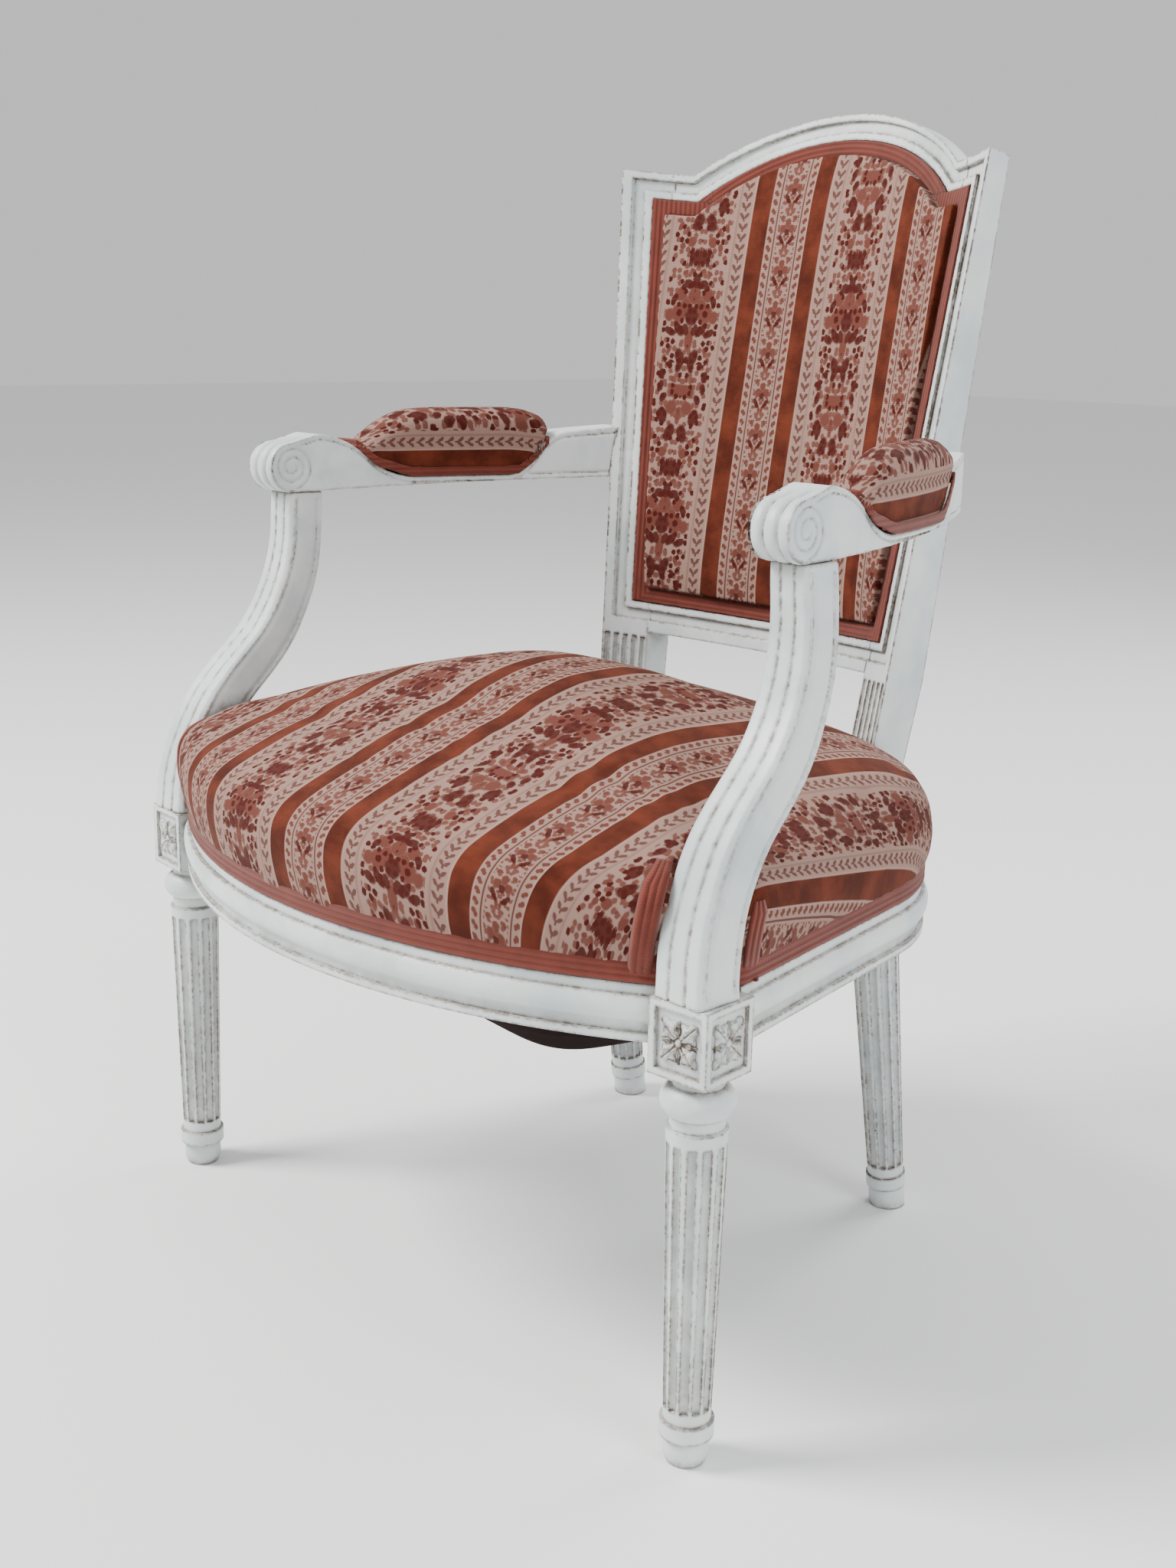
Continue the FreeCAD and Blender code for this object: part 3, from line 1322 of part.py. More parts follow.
def cushion_levels(shrink):
    """Levels of the seat cushion: a straight foot, a bulging wall, a rounded shoulder and a dome."""
    bulge = mm("seat_bulge")
    reach = mm("seat_dome_reach")
    widest = (gimp_high + mm("seat_wall_height")) / 2
    levels = [(cover_inset + shrink, gimp_low), (cover_inset + shrink, gimp_high)]
    for step in range(1, WALL_STEPS + 1):
        angle = math.pi / 2 * step / WALL_STEPS
        levels.append((cover_inset - bulge * math.sin(angle) + shrink, gimp_high + (widest - gimp_high) * step
                       / WALL_STEPS))
    across = mm("seat_shoulder") - shrink
    up = (mm("seat_wall_height") - widest) * 1.2 - shrink
    edge = cover_inset - bulge + shrink
    for step in range(1, SHOULDER_STEPS + 1):
        angle = math.radians(SHOULDER_TURN) * step / SHOULDER_STEPS
        levels.append((edge + across * (1 - math.cos(angle)), widest + up * math.sin(angle)))
    start_inset, start_height = levels[-1]
    top = mm("crown_height") - shrink
    middle = reach + float(corner_reach)
    for step in range(1, DOME_STEPS + 1):
        share = step / DOME_STEPS * 0.94
        inset = start_inset + (middle - start_inset) * share
        height = start_height + (top - start_height) * math.sin(math.pi / 2 * share)
        if inset <= reach:
            levels.append((inset, height))
        else:
            levels.append((reach, height, (middle - inset) / (middle - reach)))
    return levels


seat_outer = seat_form(cushion_levels(0))
inner_levels = cushion_levels(mm("cover_thickness"))
seat_inner = seat_form([(inner_levels[0][0], gimp_low - 5)] + inner_levels[1:])
seat_cover = main_solid(around_joinery(seat_outer.cut(seat_inner)))
keep("seat_cover", feature("SeatCover", seat_cover))
filling = seat_form(cushion_levels(mm("cover_thickness") + CLEAR))
filling = filling.common(seat_slab(0, canvas_foot, mm("crown_height")))
filling = filling.cut(canvas_form(mm("canvas_thickness") + CLEAR, 5.0))
keep("seat_stuffing", feature("SeatStuffing", main_solid(around_joinery(filling))))

# Gimp round the foot of the seat's cover: one length to each side
gimp_outer = cover_inset - CLEAR - mm("gimp_thickness")
gimp_ring = seat_slab(gimp_outer, gimp_low, gimp_high).cut(seat_slab(cover_inset - CLEAR, gimp_low - 5, gimp_high + 5))
gimp_lengths = sorted(around_joinery(gimp_ring).Solids, key=lambda solid: -solid.Volume)[:4]
for solid in gimp_lengths:
    middle = solid.CenterOfMass
    if abs(middle.x) > half_rail.value:
        continue
    name = "front" if middle.y < corner_y.value else "rear"
    keep("seat_gimp_" + name, feature("SeatGimp" + name.title(), solid))
side_length_gimp = max((solid for solid in gimp_lengths if solid.CenterOfMass.x > half_rail.value),
                       key=lambda solid: solid.Volume)
gimp_right = keep("seat_gimp_right", feature("SeatGimpRight", side_length_gimp))
keep("seat_gimp_left", mirror("SeatGimpLeft", gimp_right))

# Dust cover: thin cloth hanging under the webbing
dust_top = cross_low - CLEAR
dust_levels = [(float(half_rail), 0), (mm("rail_thickness") * 1.6, 0.35), (mm("rail_thickness") * 3.2, 0.8),
               (mm("seat_dome_reach"), 1)]


def dust_form(drop, rise):
    """Solid between a flat top and the sagging cloth."""
    levels = [(inset, dust_top - drop - mm("dust_cover_sag") * share) for inset, share in dust_levels]
    levels = [(levels[0][0], dust_top + rise)] + levels
    return seat_form(levels[::-1])


dust = dust_form(mm("dust_cover_thickness"), 0).cut(dust_form(0, 5.0))
keep("dust_cover", feature("DustCover", main_solid(around_joinery(dust))))


# Upholstery of the back, built in the back's own frame: webbing, canvas, stuffing, cover and gimp
back_low = mm("lower_rail_height")
back_high = mm("crest_height") - mm("crest_face_width")
layer = mm("ledge_depth") - CLEAR
back_straps = []
upright_wall = back_ring(layer - mm("webbing_thickness"), layer).common(opening(-mm("ledge_width") * 0.2))
for step in (-1, 0, 1):
    x = step * mm("webbing_pitch") * 1.2
    strap = Part.makeBox(2 * half_web, BACK_REACH, BACK_REACH, point(x - half_web, -BACK_REACH / 2, 0))
    back_straps.append(main_solid(strap.common(upright_wall)))
layer = layer - mm("webbing_thickness") - CLEAR
across_wall = back_ring(layer - mm("webbing_thickness"), layer).common(opening(-mm("ledge_width") * 0.2))
for step in range(4):
    z = back_low + mm("webbing_width") * 0.8 + step * (back_high - back_low - mm("webbing_width") * 1.9) / 3
    strap = Part.makeBox(BACK_REACH, BACK_REACH, 2 * half_web, point(-BACK_REACH / 2, -BACK_REACH / 2, z - half_web))
    back_straps.append(main_solid(strap.common(across_wall)))
keep("back_webbing", feature("BackWebbing", Part.makeCompound([back_frame(strap) for strap in back_straps])))
layer = layer - mm("webbing_thickness") - CLEAR
canvas_wall = back_ring(layer - mm("canvas_thickness"), layer).common(opening(-mm("ledge_width") * 0.15))
keep("back_canvas", feature("BackCanvas", back_frame(main_solid(canvas_wall))))
layer = layer - mm("canvas_thickness") - CLEAR
crown_edge = mm("back_gimp_width") + 4 * CLEAR
back_wide = mm("frame_bottom_half_width") + mm("frame_flare") * mm("frame_height")


def crown_form(lift, depth):
    """Solid of the back's cushion: level sections between a crowned front and a flat rear layer."""
    middle = (back_low + back_high) / 2
    half = (back_high - back_low) / 2
    wires = []
    steps = 8
    for step in range(steps + 1):
        share = -1 + 2 * step / steps
        z = middle + half * 1.02 * share
        crown = mm("back_crown") * max(1 - share ** 4, 0) ** 0.5 + lift
        edge_y = front_y(back_wide)
        edge_left = point(-back_wide, edge_y - lift, z)
        edge_right = point(back_wide, edge_y - lift, z)
        rear_left = point(-back_wide, edge_y + depth, z)
        rear_right = point(back_wide, edge_y + depth, z)
        edges = [Part.Arc(edge_left, point(0, -crown, z), edge_right).toShape(),
                 Part.makeLine(edge_right, rear_right),
                 Part.Arc(rear_right, point(0, depth, z), rear_left).toShape(),
                 Part.makeLine(rear_left, edge_left)]
        wires.append(Part.Wire(edges))
    return Part.makeLoft(wires, True, False)


fabric = mm("cover_thickness")
rim = opening(-CLEAR * 2).common(back_ring(layer - fabric, layer))
dome = crown_form(fabric + CLEAR, layer).common(opening(-crown_edge))
pocket = crown_form(CLEAR, layer + 5).common(opening(-crown_edge - fabric))
back_cover = dome.fuse(rim).cut(pocket)
keep("back_cover", feature("BackCover", back_frame(main_solid(back_cover))))
back_filling = crown_form(0, layer).common(opening(-crown_edge - fabric - CLEAR))
keep("back_stuffing", feature("BackStuffing", back_frame(main_solid(back_filling))))
gimp_face = layer - fabric - CLEAR
band = opening(-CLEAR * 2).cut(opening(-CLEAR * 2 - mm("back_gimp_width")))
back_gimp = band.common(back_ring(gimp_face - mm("gimp_thickness"), gimp_face))
keep("back_gimp_front", feature("BackGimpFront", back_frame(main_solid(back_gimp))))
outside = opening(-mm("ledge_width") - CLEAR)
outside_rear = mm("back_thickness") - CLEAR * 3
outside_cover = outside.common(back_ring(outside_rear - fabric, outside_rear))
keep("back_outside_cover", feature("BackOutsideCover", back_frame(main_solid(outside_cover))))
rear_band = outside.cut(opening(-mm("ledge_width") - CLEAR - mm("back_gimp_width")))
rear_gimp = rear_band.common(back_ring(outside_rear + CLEAR, outside_rear + CLEAR + mm("gimp_thickness")))
keep("back_gimp_rear", feature("BackGimpRear", back_frame(main_solid(rear_gimp))))


# Arm pads: stuffing, cover and gimp over the dip of each arm
def arm_outer_x(y):
    """Outer face of the arm in plan."""
    first = point(size("arm_front_half_span"), size("arm_tip_reach"))
    last = point(size("arm_rear_half_span"), arm_rear_y)
    run = last - first
    inward = point(-run.y, run.x).normalize()
    radius = float(arm_bow_radius)
    centre = (first + last) * 0.5 + inward * math.sqrt(radius ** 2 - run.Length ** 2 / 4)
    return centre.x + math.sqrt(radius ** 2 - (y - centre.y) ** 2)


def arm_top(y):
    """Height of the arm's upper edge, from the scroll's hump through the dip to the rear rise."""
    hump = float(peak_y)
    dip_start = mm("dip_front")
    dip_end = mm("dip_rear")
    low = float(dip_z)
    if y < dip_start:
        swing = (y - hump) / (dip_start - hump)
        return low + (float(peak_z) - low) * (1 + math.cos(math.pi * swing)) / 2
    if y <= dip_end:
        return low
    swing = min((y - dip_end) / (2 * float(rise_run)), 1)
    return low + (float(arm_high_rear) - 5 - low) * (1 - math.cos(math.pi * swing)) / 2


PAD_SECTIONS = 16


def pad_fullness(share):
    """How full the pad stands at a share of its length: low at the front, high along its rear half."""
    front = 0.35 + 0.65 * math.sin(min(share / 0.6, 1) * math.pi / 2)
    rear = 1 - 0.3 * max((share - 0.88) / 0.12, 0) ** 2
    return front * rear


def pad_form(grow, sink, trim, ceiling=None):
    """Solid of the arm pad: grow swells it, sink lowers its foot, trim shortens each end."""
    start = float(peak_y) + CLEAR * 10
    end = mm("dip_rear") + mm("arm_pad_tail")
    half_arm = mm("arm_width") / 2
    top = mm("arm_bottom") + mm("arm_pad_height")
    wires = []
    for section in range(PAD_SECTIONS + 1):
        share = section / PAD_SECTIONS
        full = pad_fullness(share)
        y = start + (end - start) * share
        centre = arm_outer_x(y) - half_arm
        foot = arm_top(y) + CLEAR - sink
        shown = start + trim + (end - start - 2 * trim) * share
        crest = top * full + (arm_top(start)) * (1 - full)
        shoulder = arm_top(y) + CLEAR + (crest - arm_top(y)) * 0.55 + grow * 0.5
        peak = crest + grow
        if ceiling is not None:
            shoulder = arm_top(y) + ceiling * 0.98
            peak = arm_top(y) + ceiling
        wide_low = half_arm + mm("arm_pad_swell") * 0.4 + grow
        wide = half_arm + mm("arm_pad_swell") + grow
        if ceiling is not None:
            wide = wide_low
        edges = [Part.makeLine(point(centre - wide_low, shown, foot), point(centre + wide_low, shown, foot)),
                 Part.makeLine(point(centre + wide_low, shown, foot), point(centre + wide, shown, shoulder)),
                 Part.Arc(point(centre + wide, shown, shoulder), point(centre, shown, peak),
                          point(centre - wide, shown, shoulder)).toShape(),
                 Part.makeLine(point(centre - wide, shown, shoulder), point(centre - wide_low, shown, foot))]
        wires.append(Part.Wire(edges))
    return Part.makeLoft(wires, True, True)


arm_room = arm_right.Shape.copy()
arm_room.translate(point(0, 0, CLEAR))
pad_outer = pad_form(0, 0, 0)
pad_cover = main_solid(pad_outer.cut(pad_form(-fabric, 5, fabric)).cut(arm_room).cut(arm_right.Shape))
pad_filling = main_solid(pad_form(-fabric - CLEAR, 0, fabric + CLEAR).cut(arm_room).cut(arm_right.Shape))
pad_band = pad_form(CLEAR + mm("gimp_thickness"), 0, -CLEAR - mm("gimp_thickness"), mm("arm_gimp_width"))
pad_band = pad_band.cut(pad_form(CLEAR, 5, -CLEAR)).cut(arm_room).cut(arm_right.Shape)
for name, shape in (("cover", pad_cover), ("stuffing", pad_filling), ("gimp", main_solid(pad_band))):
    right = keep("arm_" + name + "_right", feature("Arm" + name.title() + "Right", shape))
    keep("arm_" + name + "_left", mirror("Arm" + name.title() + "Left", right))

doc.recompute()


# The chair's origin lies on the floor, in the middle of its overall box
def reach_y(node):
    """Foremost and rearmost points of a piece."""
    exact = pieces[node].Shape.optimalBoundingBox(False, False)
    return exact.YMin, exact.YMax


foremost = min(reach_y(node)[0] for node in ("seat_cover", "front_rail"))
rearmost = max(reach_y(node)[1] for node in ("crest_rail", "rear_post_right"))
shift = point(0, -(foremost + rearmost) / 2)
for thing in pieces.values():
    if thing.TypeId != "Part::Mirroring":
        thing.Placement = FreeCAD.Placement(shift + thing.Placement.Base, thing.Placement.Rotation)
doc.recompute()

# Every object must have computed, and every piece must be a sound solid
for thing in doc.Objects:
    if "Invalid" in thing.State or "Error" in thing.State:
        raise ValueError(thing.Name + " did not compute")
for node, thing in pieces.items():
    shape = thing.Shape
    if shape.isNull() or not shape.isValid() or not shape.Solids:
        raise ValueError(node + " has no valid shape")

os.makedirs("parts", exist_ok=True)
for node, thing in pieces.items():
    thing.Shape.exportStep("parts/" + node + ".step")
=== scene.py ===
"""Looks of an open armchair: worn painted frame, striped velvet upholstery and terracotta braid."""
import logging
import math
from dataclasses import dataclass
from enum import Enum
from typing import Callable

import bpy
import numpy as np
from mathutils import Matrix, Vector


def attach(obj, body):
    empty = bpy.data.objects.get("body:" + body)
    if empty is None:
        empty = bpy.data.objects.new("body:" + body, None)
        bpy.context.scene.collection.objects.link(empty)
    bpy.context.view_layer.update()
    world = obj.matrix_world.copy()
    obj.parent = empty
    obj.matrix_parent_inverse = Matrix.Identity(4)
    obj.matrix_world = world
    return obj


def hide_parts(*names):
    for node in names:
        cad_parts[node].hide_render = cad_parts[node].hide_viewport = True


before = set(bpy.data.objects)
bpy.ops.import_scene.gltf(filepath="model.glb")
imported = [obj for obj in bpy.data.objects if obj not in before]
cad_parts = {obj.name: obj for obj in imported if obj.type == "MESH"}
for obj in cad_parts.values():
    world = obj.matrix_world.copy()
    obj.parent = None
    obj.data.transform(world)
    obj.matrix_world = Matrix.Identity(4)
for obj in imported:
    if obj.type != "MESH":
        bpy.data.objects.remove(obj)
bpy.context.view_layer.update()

LOG = logging.getLogger("armchair")
BODY = "root"
# The frame's origin lies under the chair's middle, this far behind the front legs' axes
SHIFT = -0.1825
# Smooth shading over every edge of a soft piece, in degrees
ALL_ROUND = 180.0
# Places along a piece at which its edges are read
EDGE_MARKS = 140
MILLIMETRES = 1000


class Side(Enum):
    """Side of the chair, with the sign that X has there."""

    RIGHT = 1.0
    LEFT = -1.0

    @property
    def word(self) -> str:
        """The side's word in the names of pieces."""
        return self.name.lower()


class Facing(Enum):
    """The way that a panel of the leg's block, or the braid beside it, faces."""

    FRONT = "front"
    OUTER = "outer"


class Run(Enum):
    """Where a length or a ring of braid runs."""

    FRONT = "front"
    REAR = "rear"
    RIGHT = "right"
    LEFT = "left"


class Slot(Enum):
    """Names of the record's material slots for the soft and carved pieces."""

    VELVET = "striped_velvet"
    BRAID = "gimp_braid"
    DUST_CLOTH = "dust_cloth"
    PAINT = "painted_frame"


def srgb(red: float, green: float, blue: float) -> tuple[float, float, float, float]:
    """Turn a screen colour of 0 to 255 into a shader colour.

    Args:
        red: red level.
        green: green level.
        blue: blue level.

    Returns:
        Linear red, green and blue, and an alpha of 1.
    """
    levels = []
    for level in (red, green, blue):
        share = level / 255.0
        levels.append(share / 12.92 if share <= 0.04045 else ((share + 0.055) / 1.055) ** 2.4)
    return (levels[0], levels[1], levels[2], 1.0)


class Field:
    """A number, vector or colour that varies over a material, reckoned with as a number is."""

    def __init__(self, graph: "Graph", socket: bpy.types.NodeSocket) -> None:
        """Hold the socket that gives the value."""
        self.graph = graph
        self.socket = socket

    def __add__(self, other: "Value") -> "Field":
        """This value and another together."""
        return self.graph.math("ADD", self, other)

    def __sub__(self, other: "Value") -> "Field":
        """This value less another."""
        return self.graph.math("SUBTRACT", self, other)

    def __mul__(self, other: "Value") -> "Field":
        """This value times another."""
        return self.graph.math("MULTIPLY", self, other)

    def __truediv__(self, other: "Value") -> "Field":
        """This value divided by another."""
        return self.graph.math("DIVIDE", self, other)

    def times_plus(self, factor: "Value", addend: "Value") -> "Field":
        """This value times a factor, plus an addend."""
        return self.graph.math("MULTIPLY_ADD", self, factor, addend)

    def held_sum(self, other: "Value") -> "Field":
        """This value and another together, held between 0 and 1."""
        return self.graph.math("ADD", self, other, clamp=True)

    def maximum(self, other: "Value") -> "Field":
        """The larger of this value and another."""
        return self.graph.math("MAXIMUM", self, other)

    def minimum(self, other: "Value") -> "Field":
        """The smaller of this value and another."""
        return self.graph.math("MINIMUM", self, other)

    def under(self, limit: float) -> "Field":
        """1 where this value is under a limit, else 0."""
        return self.graph.math("LESS_THAN", self, limit)

    def over(self, limit: float) -> "Field":
        """1 where this value is over a limit, else 0."""
        return self.graph.math("GREATER_THAN", self, limit)

    def absolute(self) -> "Field":
        """This value without its sign."""
        return self.graph.math("ABSOLUTE", self)

    def root(self) -> "Field":
        """The square root of this value."""
        return self.graph.math("SQRT", self)

    def folded(self, length: float) -> "Field":
        """This value, going up and down between 0 and a length."""
        return self.graph.math("PINGPONG", self, length)

    def wave(self, period: float) -> "Field":
        """A sine wave along this value."""
        return self.graph.math("SINE", self * (math.tau / period))

    def wrapped(self, pitch: float) -> "Field":
        """This value's distance from the nearest multiple of a pitch, with its sign."""
        return self.graph.math("FLOORED_MODULO", self + pitch / 2, pitch) - pitch / 2

    def sibling(self, output: str | int) -> "Field":
        """Another output of the same node."""
        return Field(self.graph, self.socket.node.outputs[output])


Value = Field | float | tuple | None


class Graph:
    """A material's shader nodes, added one after another and linked as they are added."""

    def __init__(self, name: str) -> None:
        """Start an empty material with one Principled shader.

        Args:
            name: name of the material.
        """
        self.material = bpy.data.materials.new(name)
        self.material.use_nodes = True
        self.nodes = self.material.node_tree.nodes
        self.links = self.material.node_tree.links
        self.nodes.clear()
        output = self.nodes.new("ShaderNodeOutputMaterial")
        self.shader = self.nodes.new("ShaderNodeBsdfPrincipled")
        self.links.new(self.shader.outputs["BSDF"], output.inputs["Surface"])

    def fill(self, node: bpy.types.Node, inputs: dict[str | int, Value]) -> None:
        """Link or set inputs of a node.

        Args:
            node: the node.
            inputs: what goes into each input. None leaves an input as it is.
        """
        for key, value in inputs.items():
            if isinstance(value, Field):
                self.links.new(value.socket, node.inputs[key])
            elif value is not None:
                node.inputs[key].default_value = value

    def add(self, kind: str, output: str | int, inputs: dict[str | int, Value], **options) -> Field:
        """Add a node.

        Args:
            kind: the node's type, without the word before it that all shader nodes have.
            output: the output that is wanted.
            inputs: what goes into each input.
            options: the node's own options.

        Returns:
            The wanted output.
        """
        node = self.nodes.new("ShaderNode" + kind)
        for key, value in options.items():
            setattr(node, key, value)
        self.fill(node, inputs)
        return Field(self, node.outputs[output])

    def surface(self, inputs: dict[str | int, Value]) -> None:
        """Fill inputs of the material's shader."""
        self.fill(self.shader, inputs)

    def math(self, operation: str, first: Value, second: Value = None, third: Value = None,
             clamp: bool = False) -> Field:
        """One arithmetic step.

        Args:
            operation: name of the math operation.
            first: first value.
            second: second value.
            third: third value.
            clamp: keep the result between 0 and 1.

        Returns:
            The result.
        """
        return self.add("Math", 0, {0: first, 1: second, 2: third}, operation=operation, use_clamp=clamp)

    def object_coordinates(self) -> Field:
        """Coordinates of the piece itself, in metres."""
        return self.add("TexCoord", "Object", {})

    def cloth_coordinates(self) -> Field:
        """Coordinates laid out on the cloth, in metres."""
        return self.add("UVMap", "UV", {}, uv_map="cloth")

    def noise(self, place: Field, scale: float, detail: float = 3.0, roughness: float = 0.55,
              output: str = "Fac") -> Field:
        """Soft noise.

        Args:
            place: coordinates.
            scale: how fine it is.
            detail: number of finer layers.
            roughness: strength of the finer layers.
            output: Fac for one value between 0 and 1, or Color for three.

        Returns:
            The noise.
        """
        return self.add("TexNoise", output, {"Vector": place, "Scale": scale, "Detail": detail,
                                             "Roughness": roughness})

    def mapping(self, place: Field, scale: tuple, location: tuple = (0, 0, 0)) -> Field:
        """Scale coordinates, then move them."""
        return self.add("Mapping", "Vector", {"Vector": place, "Location": location, "Scale": scale})

    def dot(self, first: Value, second: Value) -> Field:
        """Dot product of two vectors."""
        return self.add("VectorMath", "Value", {0: first, 1: second}, operation="DOT_PRODUCT")

    def combine(self, x: Value, y: Value, z: Value = 0.0) -> Field:
        """Put three values into a vector."""
        return self.add("CombineXYZ", 0, {0: x, 1: y, 2: z})

    def separate(self, vector: Field) -> tuple[Field, Field, Field]:
        """Split a vector into its three values."""
        x = self.add("SeparateXYZ", 0, {0: vector})
        return x, x.sibling(1), x.sibling(2)

    def span(self, value: Value, low: float, high: float, start: float = 0.0, end: float = 1.0) -> Field:
        """Run a value softly from one range into another, held at both ends.

        Args:
            value: the value.
            low: where its range begins.
            high: where its range ends.
            start: the result at low.
            end: the result at high.

        Returns:
            The result.
        """
        inputs = {"Value": value, "From Min": low, "From Max": high, "To Min": start, "To Max": end}
        return self.add("MapRange", "Result", inputs, interpolation_type="SMOOTHSTEP")

    def mix(self, share: Value, first: Value, second: Value) -> Field:
        """Mix two colours, by the second one's share."""
        return self.add("Mix", 2, {"Factor": share, 6: first, 7: second}, data_type="RGBA")

    def bump(self, height: Field, distance: float, strength: float, normal: Value = None) -> Field:
        """Raise the surface.

        Args:
            height: where it is raised, from 0 to 1.
            distance: how far, in metres.
            strength: strength of the effect.
            normal: the normal that it starts from.

        Returns:
            The normal.
        """
        return self.add("Bump", "Normal", {"Distance": distance, "Strength": strength, "Height": height,
                                           "Normal": normal})

    def near(self, value: Field, centre: float, half: float, soft: float) -> Field:
        """1 within half of a centre, falling to 0 over a soft edge."""
        return self.span((value - centre).absolute(), half, half + soft, 1.0, 0.0)

    def cells(self, place: Field | None, scale: float, **options) -> Field:
        """Distance from the nearest of many scattered points."""
        return self.add("TexVoronoi", "Distance", {"Vector": place, "Scale": scale}, **options)


@dataclass(frozen=True)
class Finish:
    """A finish that is drawn into a material."""

    def make(self, name: str) -> bpy.types.Material:
        """Build the finish.

        Args:
            name: name of the material.

        Returns:
            The material.
        """
        graph = Graph(name)
        self.draw(graph)
        return graph.material

    def draw(self, graph: Graph) -> None:
        """Draw the finish into a material's nodes."""
        raise NotImplementedError


@dataclass(frozen=True)
class WornPaint(Finish):
    """Old distemper paint over gesso and beech: soft blotches, soiling and painted shade in the mouldings and
    chips on edges.
    """

    paint: tuple = srgb(217, 222, 221)
    shade: tuple = srgb(190, 199, 200)
    dirt_and_shade: tuple = srgb(116, 108, 98)
    gesso: tuple = srgb(181, 162, 138)
    wood: tuple = srgb(74, 48, 34)
    roughness: float = 0.33
    roughness_swing: float = 0.18
    edge_width: float = 0.0030
    moulding_depth: float = 0.013
    blotch_scale: float = 14.0
    patch_scale: float = 90.0
    chip_scale: float = 210.0
    broad_scale: float = 34.0
    nick_scale: float = 62.0
    nick_patch_scale: float = 21.0
    stroke_scale: float = 240.0
    stroke_length: float = 0.3
    relief: float = 0.0007

    def draw(self, graph: Graph) -> None:
        """Draw the paint.

        Args:
            graph: the material's nodes.
        """
        place = graph.object_coordinates()
        blotch = graph.noise(place, self.blotch_scale, 5.0, 0.6)
        colour = graph.mix(graph.span(blotch, 0.35, 0.7), self.paint, self.shade)
        # Mouldings and recesses darken by ambient occlusion towards a brownish grey: partly soiling, partly
        # painted shade
        hollow = graph.add("AmbientOcclusion", "AO", {"Distance": self.moulding_depth}, samples=6)
        patchy = graph.noise(place, self.patch_scale, 4.0, 0.65)
        grime_and_shade = graph.span(hollow, 0.38, 0.92, 1.0, 0.0)
        grime_and_shade = grime_and_shade * graph.span(patchy, 0.3, 0.68, 0.25, 1.0)
        colour = graph.mix(grime_and_shade * 0.85, colour, self.dirt_and_shade)
        # Where the rounded normal leaves the true one, there is an edge
        rounded = graph.add("Bevel", 0, {"Radius": self.edge_width}, samples=4)
        likeness = graph.dot(rounded, graph.add("NewGeometry", "Normal", {}))
        edge = graph.span(likeness, 0.91, 0.992, 1.0, 0.0)
        chips = graph.noise(place, self.chip_scale, 5.0, 0.7)
        broad = graph.noise(place, self.broad_scale, 3.0, 0.6)
        worn = edge.times_plus(0.16, chips + broad * 0.55)
        touched = graph.span(edge, 0.05, 0.3)
        gesso_shown = touched * graph.span(worn, 0.86, 0.93)
        wood_shown = touched * graph.span(worn, 0.94, 0.99)
        nicks = graph.span(graph.cells(place, self.nick_scale), 0.045, 0.075, 1.0, 0.0)
        nicks = nicks * graph.span(graph.noise(place, self.nick_patch_scale, 2.0), 0.6, 0.66)
        colour = graph.mix(gesso_shown * 0.85, colour, self.gesso)
        colour = graph.mix(wood_shown, colour, self.wood)
        colour = graph.mix(nicks * 0.8, colour, self.wood)
        roughness = blotch * self.roughness_swing + self.roughness
        drawn_out = graph.mapping(place, (1.0, 1.0, self.stroke_length))
        strokes = graph.noise(drawn_out, self.stroke_scale, 3.0, 0.6)
        lost = (gesso_shown + nicks) * -0.7
        height = strokes * 0.16 + lost
        height = height + patchy * 0.14
        normal = graph.bump(height, self.relief, 0.75, rounded)
        graph.surface({"Base Color": colour, "Roughness": roughness, "Normal": normal})


@dataclass(frozen=True)
class Sprig:
    """One leaf, petal or flower of the woven pattern, in millimetres across and along its column."""

    across: float
    along: float
    half_across: float
    half_along: float
    turn: float = 0.0


WIDE_DARK = (
    Sprig(0, -17, 3.8, 5.8), Sprig(6.5, -19.5, 5.5, 3.5, 12), Sprig(11, -22, 2.6, 2.6),
    Sprig(18.5, -31, 2.9, 4.3, 30), Sprig(0, -43, 6.7, 7.4), Sprig(12.5, -41, 2.6, 2.6),
    Sprig(10.5, -53, 3.4, 6.7, -48), Sprig(4.5, -53, 3.1, 4.8, -18), Sprig(18.5, -55, 3.1, 5.5, -65),
    Sprig(6, -74, 4.3, 7.9, -28), Sprig(0, -79, 5.5, 6.5), Sprig(12.5, -80, 3.4, 5, -50),
    Sprig(6.2, 26, 4.7, 7.4, 24), Sprig(15.2, 38.5, 4.8, 6.7, -22), Sprig(16.5, 52, 2.9, 4.1, 40),
    Sprig(20.5, 60, 2.9, 4.6, 12), Sprig(20.5, 69, 2.9, 4.6, -14), Sprig(15.5, 77.5, 2.9, 4.1, -48),
    Sprig(4.8, 79, 3.6, 8.9, 16),
)
WIDE_MIDDLE = (
    Sprig(0, -28, 6.6, 6.6), Sprig(12.5, -27, 5.5, 5.5), Sprig(7.5, -35, 5, 5), Sprig(12.5, -41, 7.4, 7.2),
    Sprig(21, -43, 4.3, 5), Sprig(0, -61, 4.1, 8.2), Sprig(17, -68, 2.2, 3.1, 20), Sprig(21, -75, 1.9, 2.9),
    Sprig(10, 11.5, 4.1, 4.1), Sprig(18, 8, 2.4, 2.9), Sprig(7.5, 45, 5.5, 5.3), Sprig(0, 40, 2.6, 6.6),
    Sprig(22, 22, 2.2, 3.1, 30), Sprig(15, 20, 1.9, 2.6, -30), Sprig(9.5, 66, 2, 2.3), Sprig(3.4, 66, 2, 2.3),
    Sprig(4.5, -9.5, 2.8, 1.6, 20), Sprig(11.5, -11, 2.8, 1.6, -25),
)
NARROW_DARK = (Sprig(0, 0, 2.5, 3), Sprig(4.9, -6, 1.9, 4.8, -34))
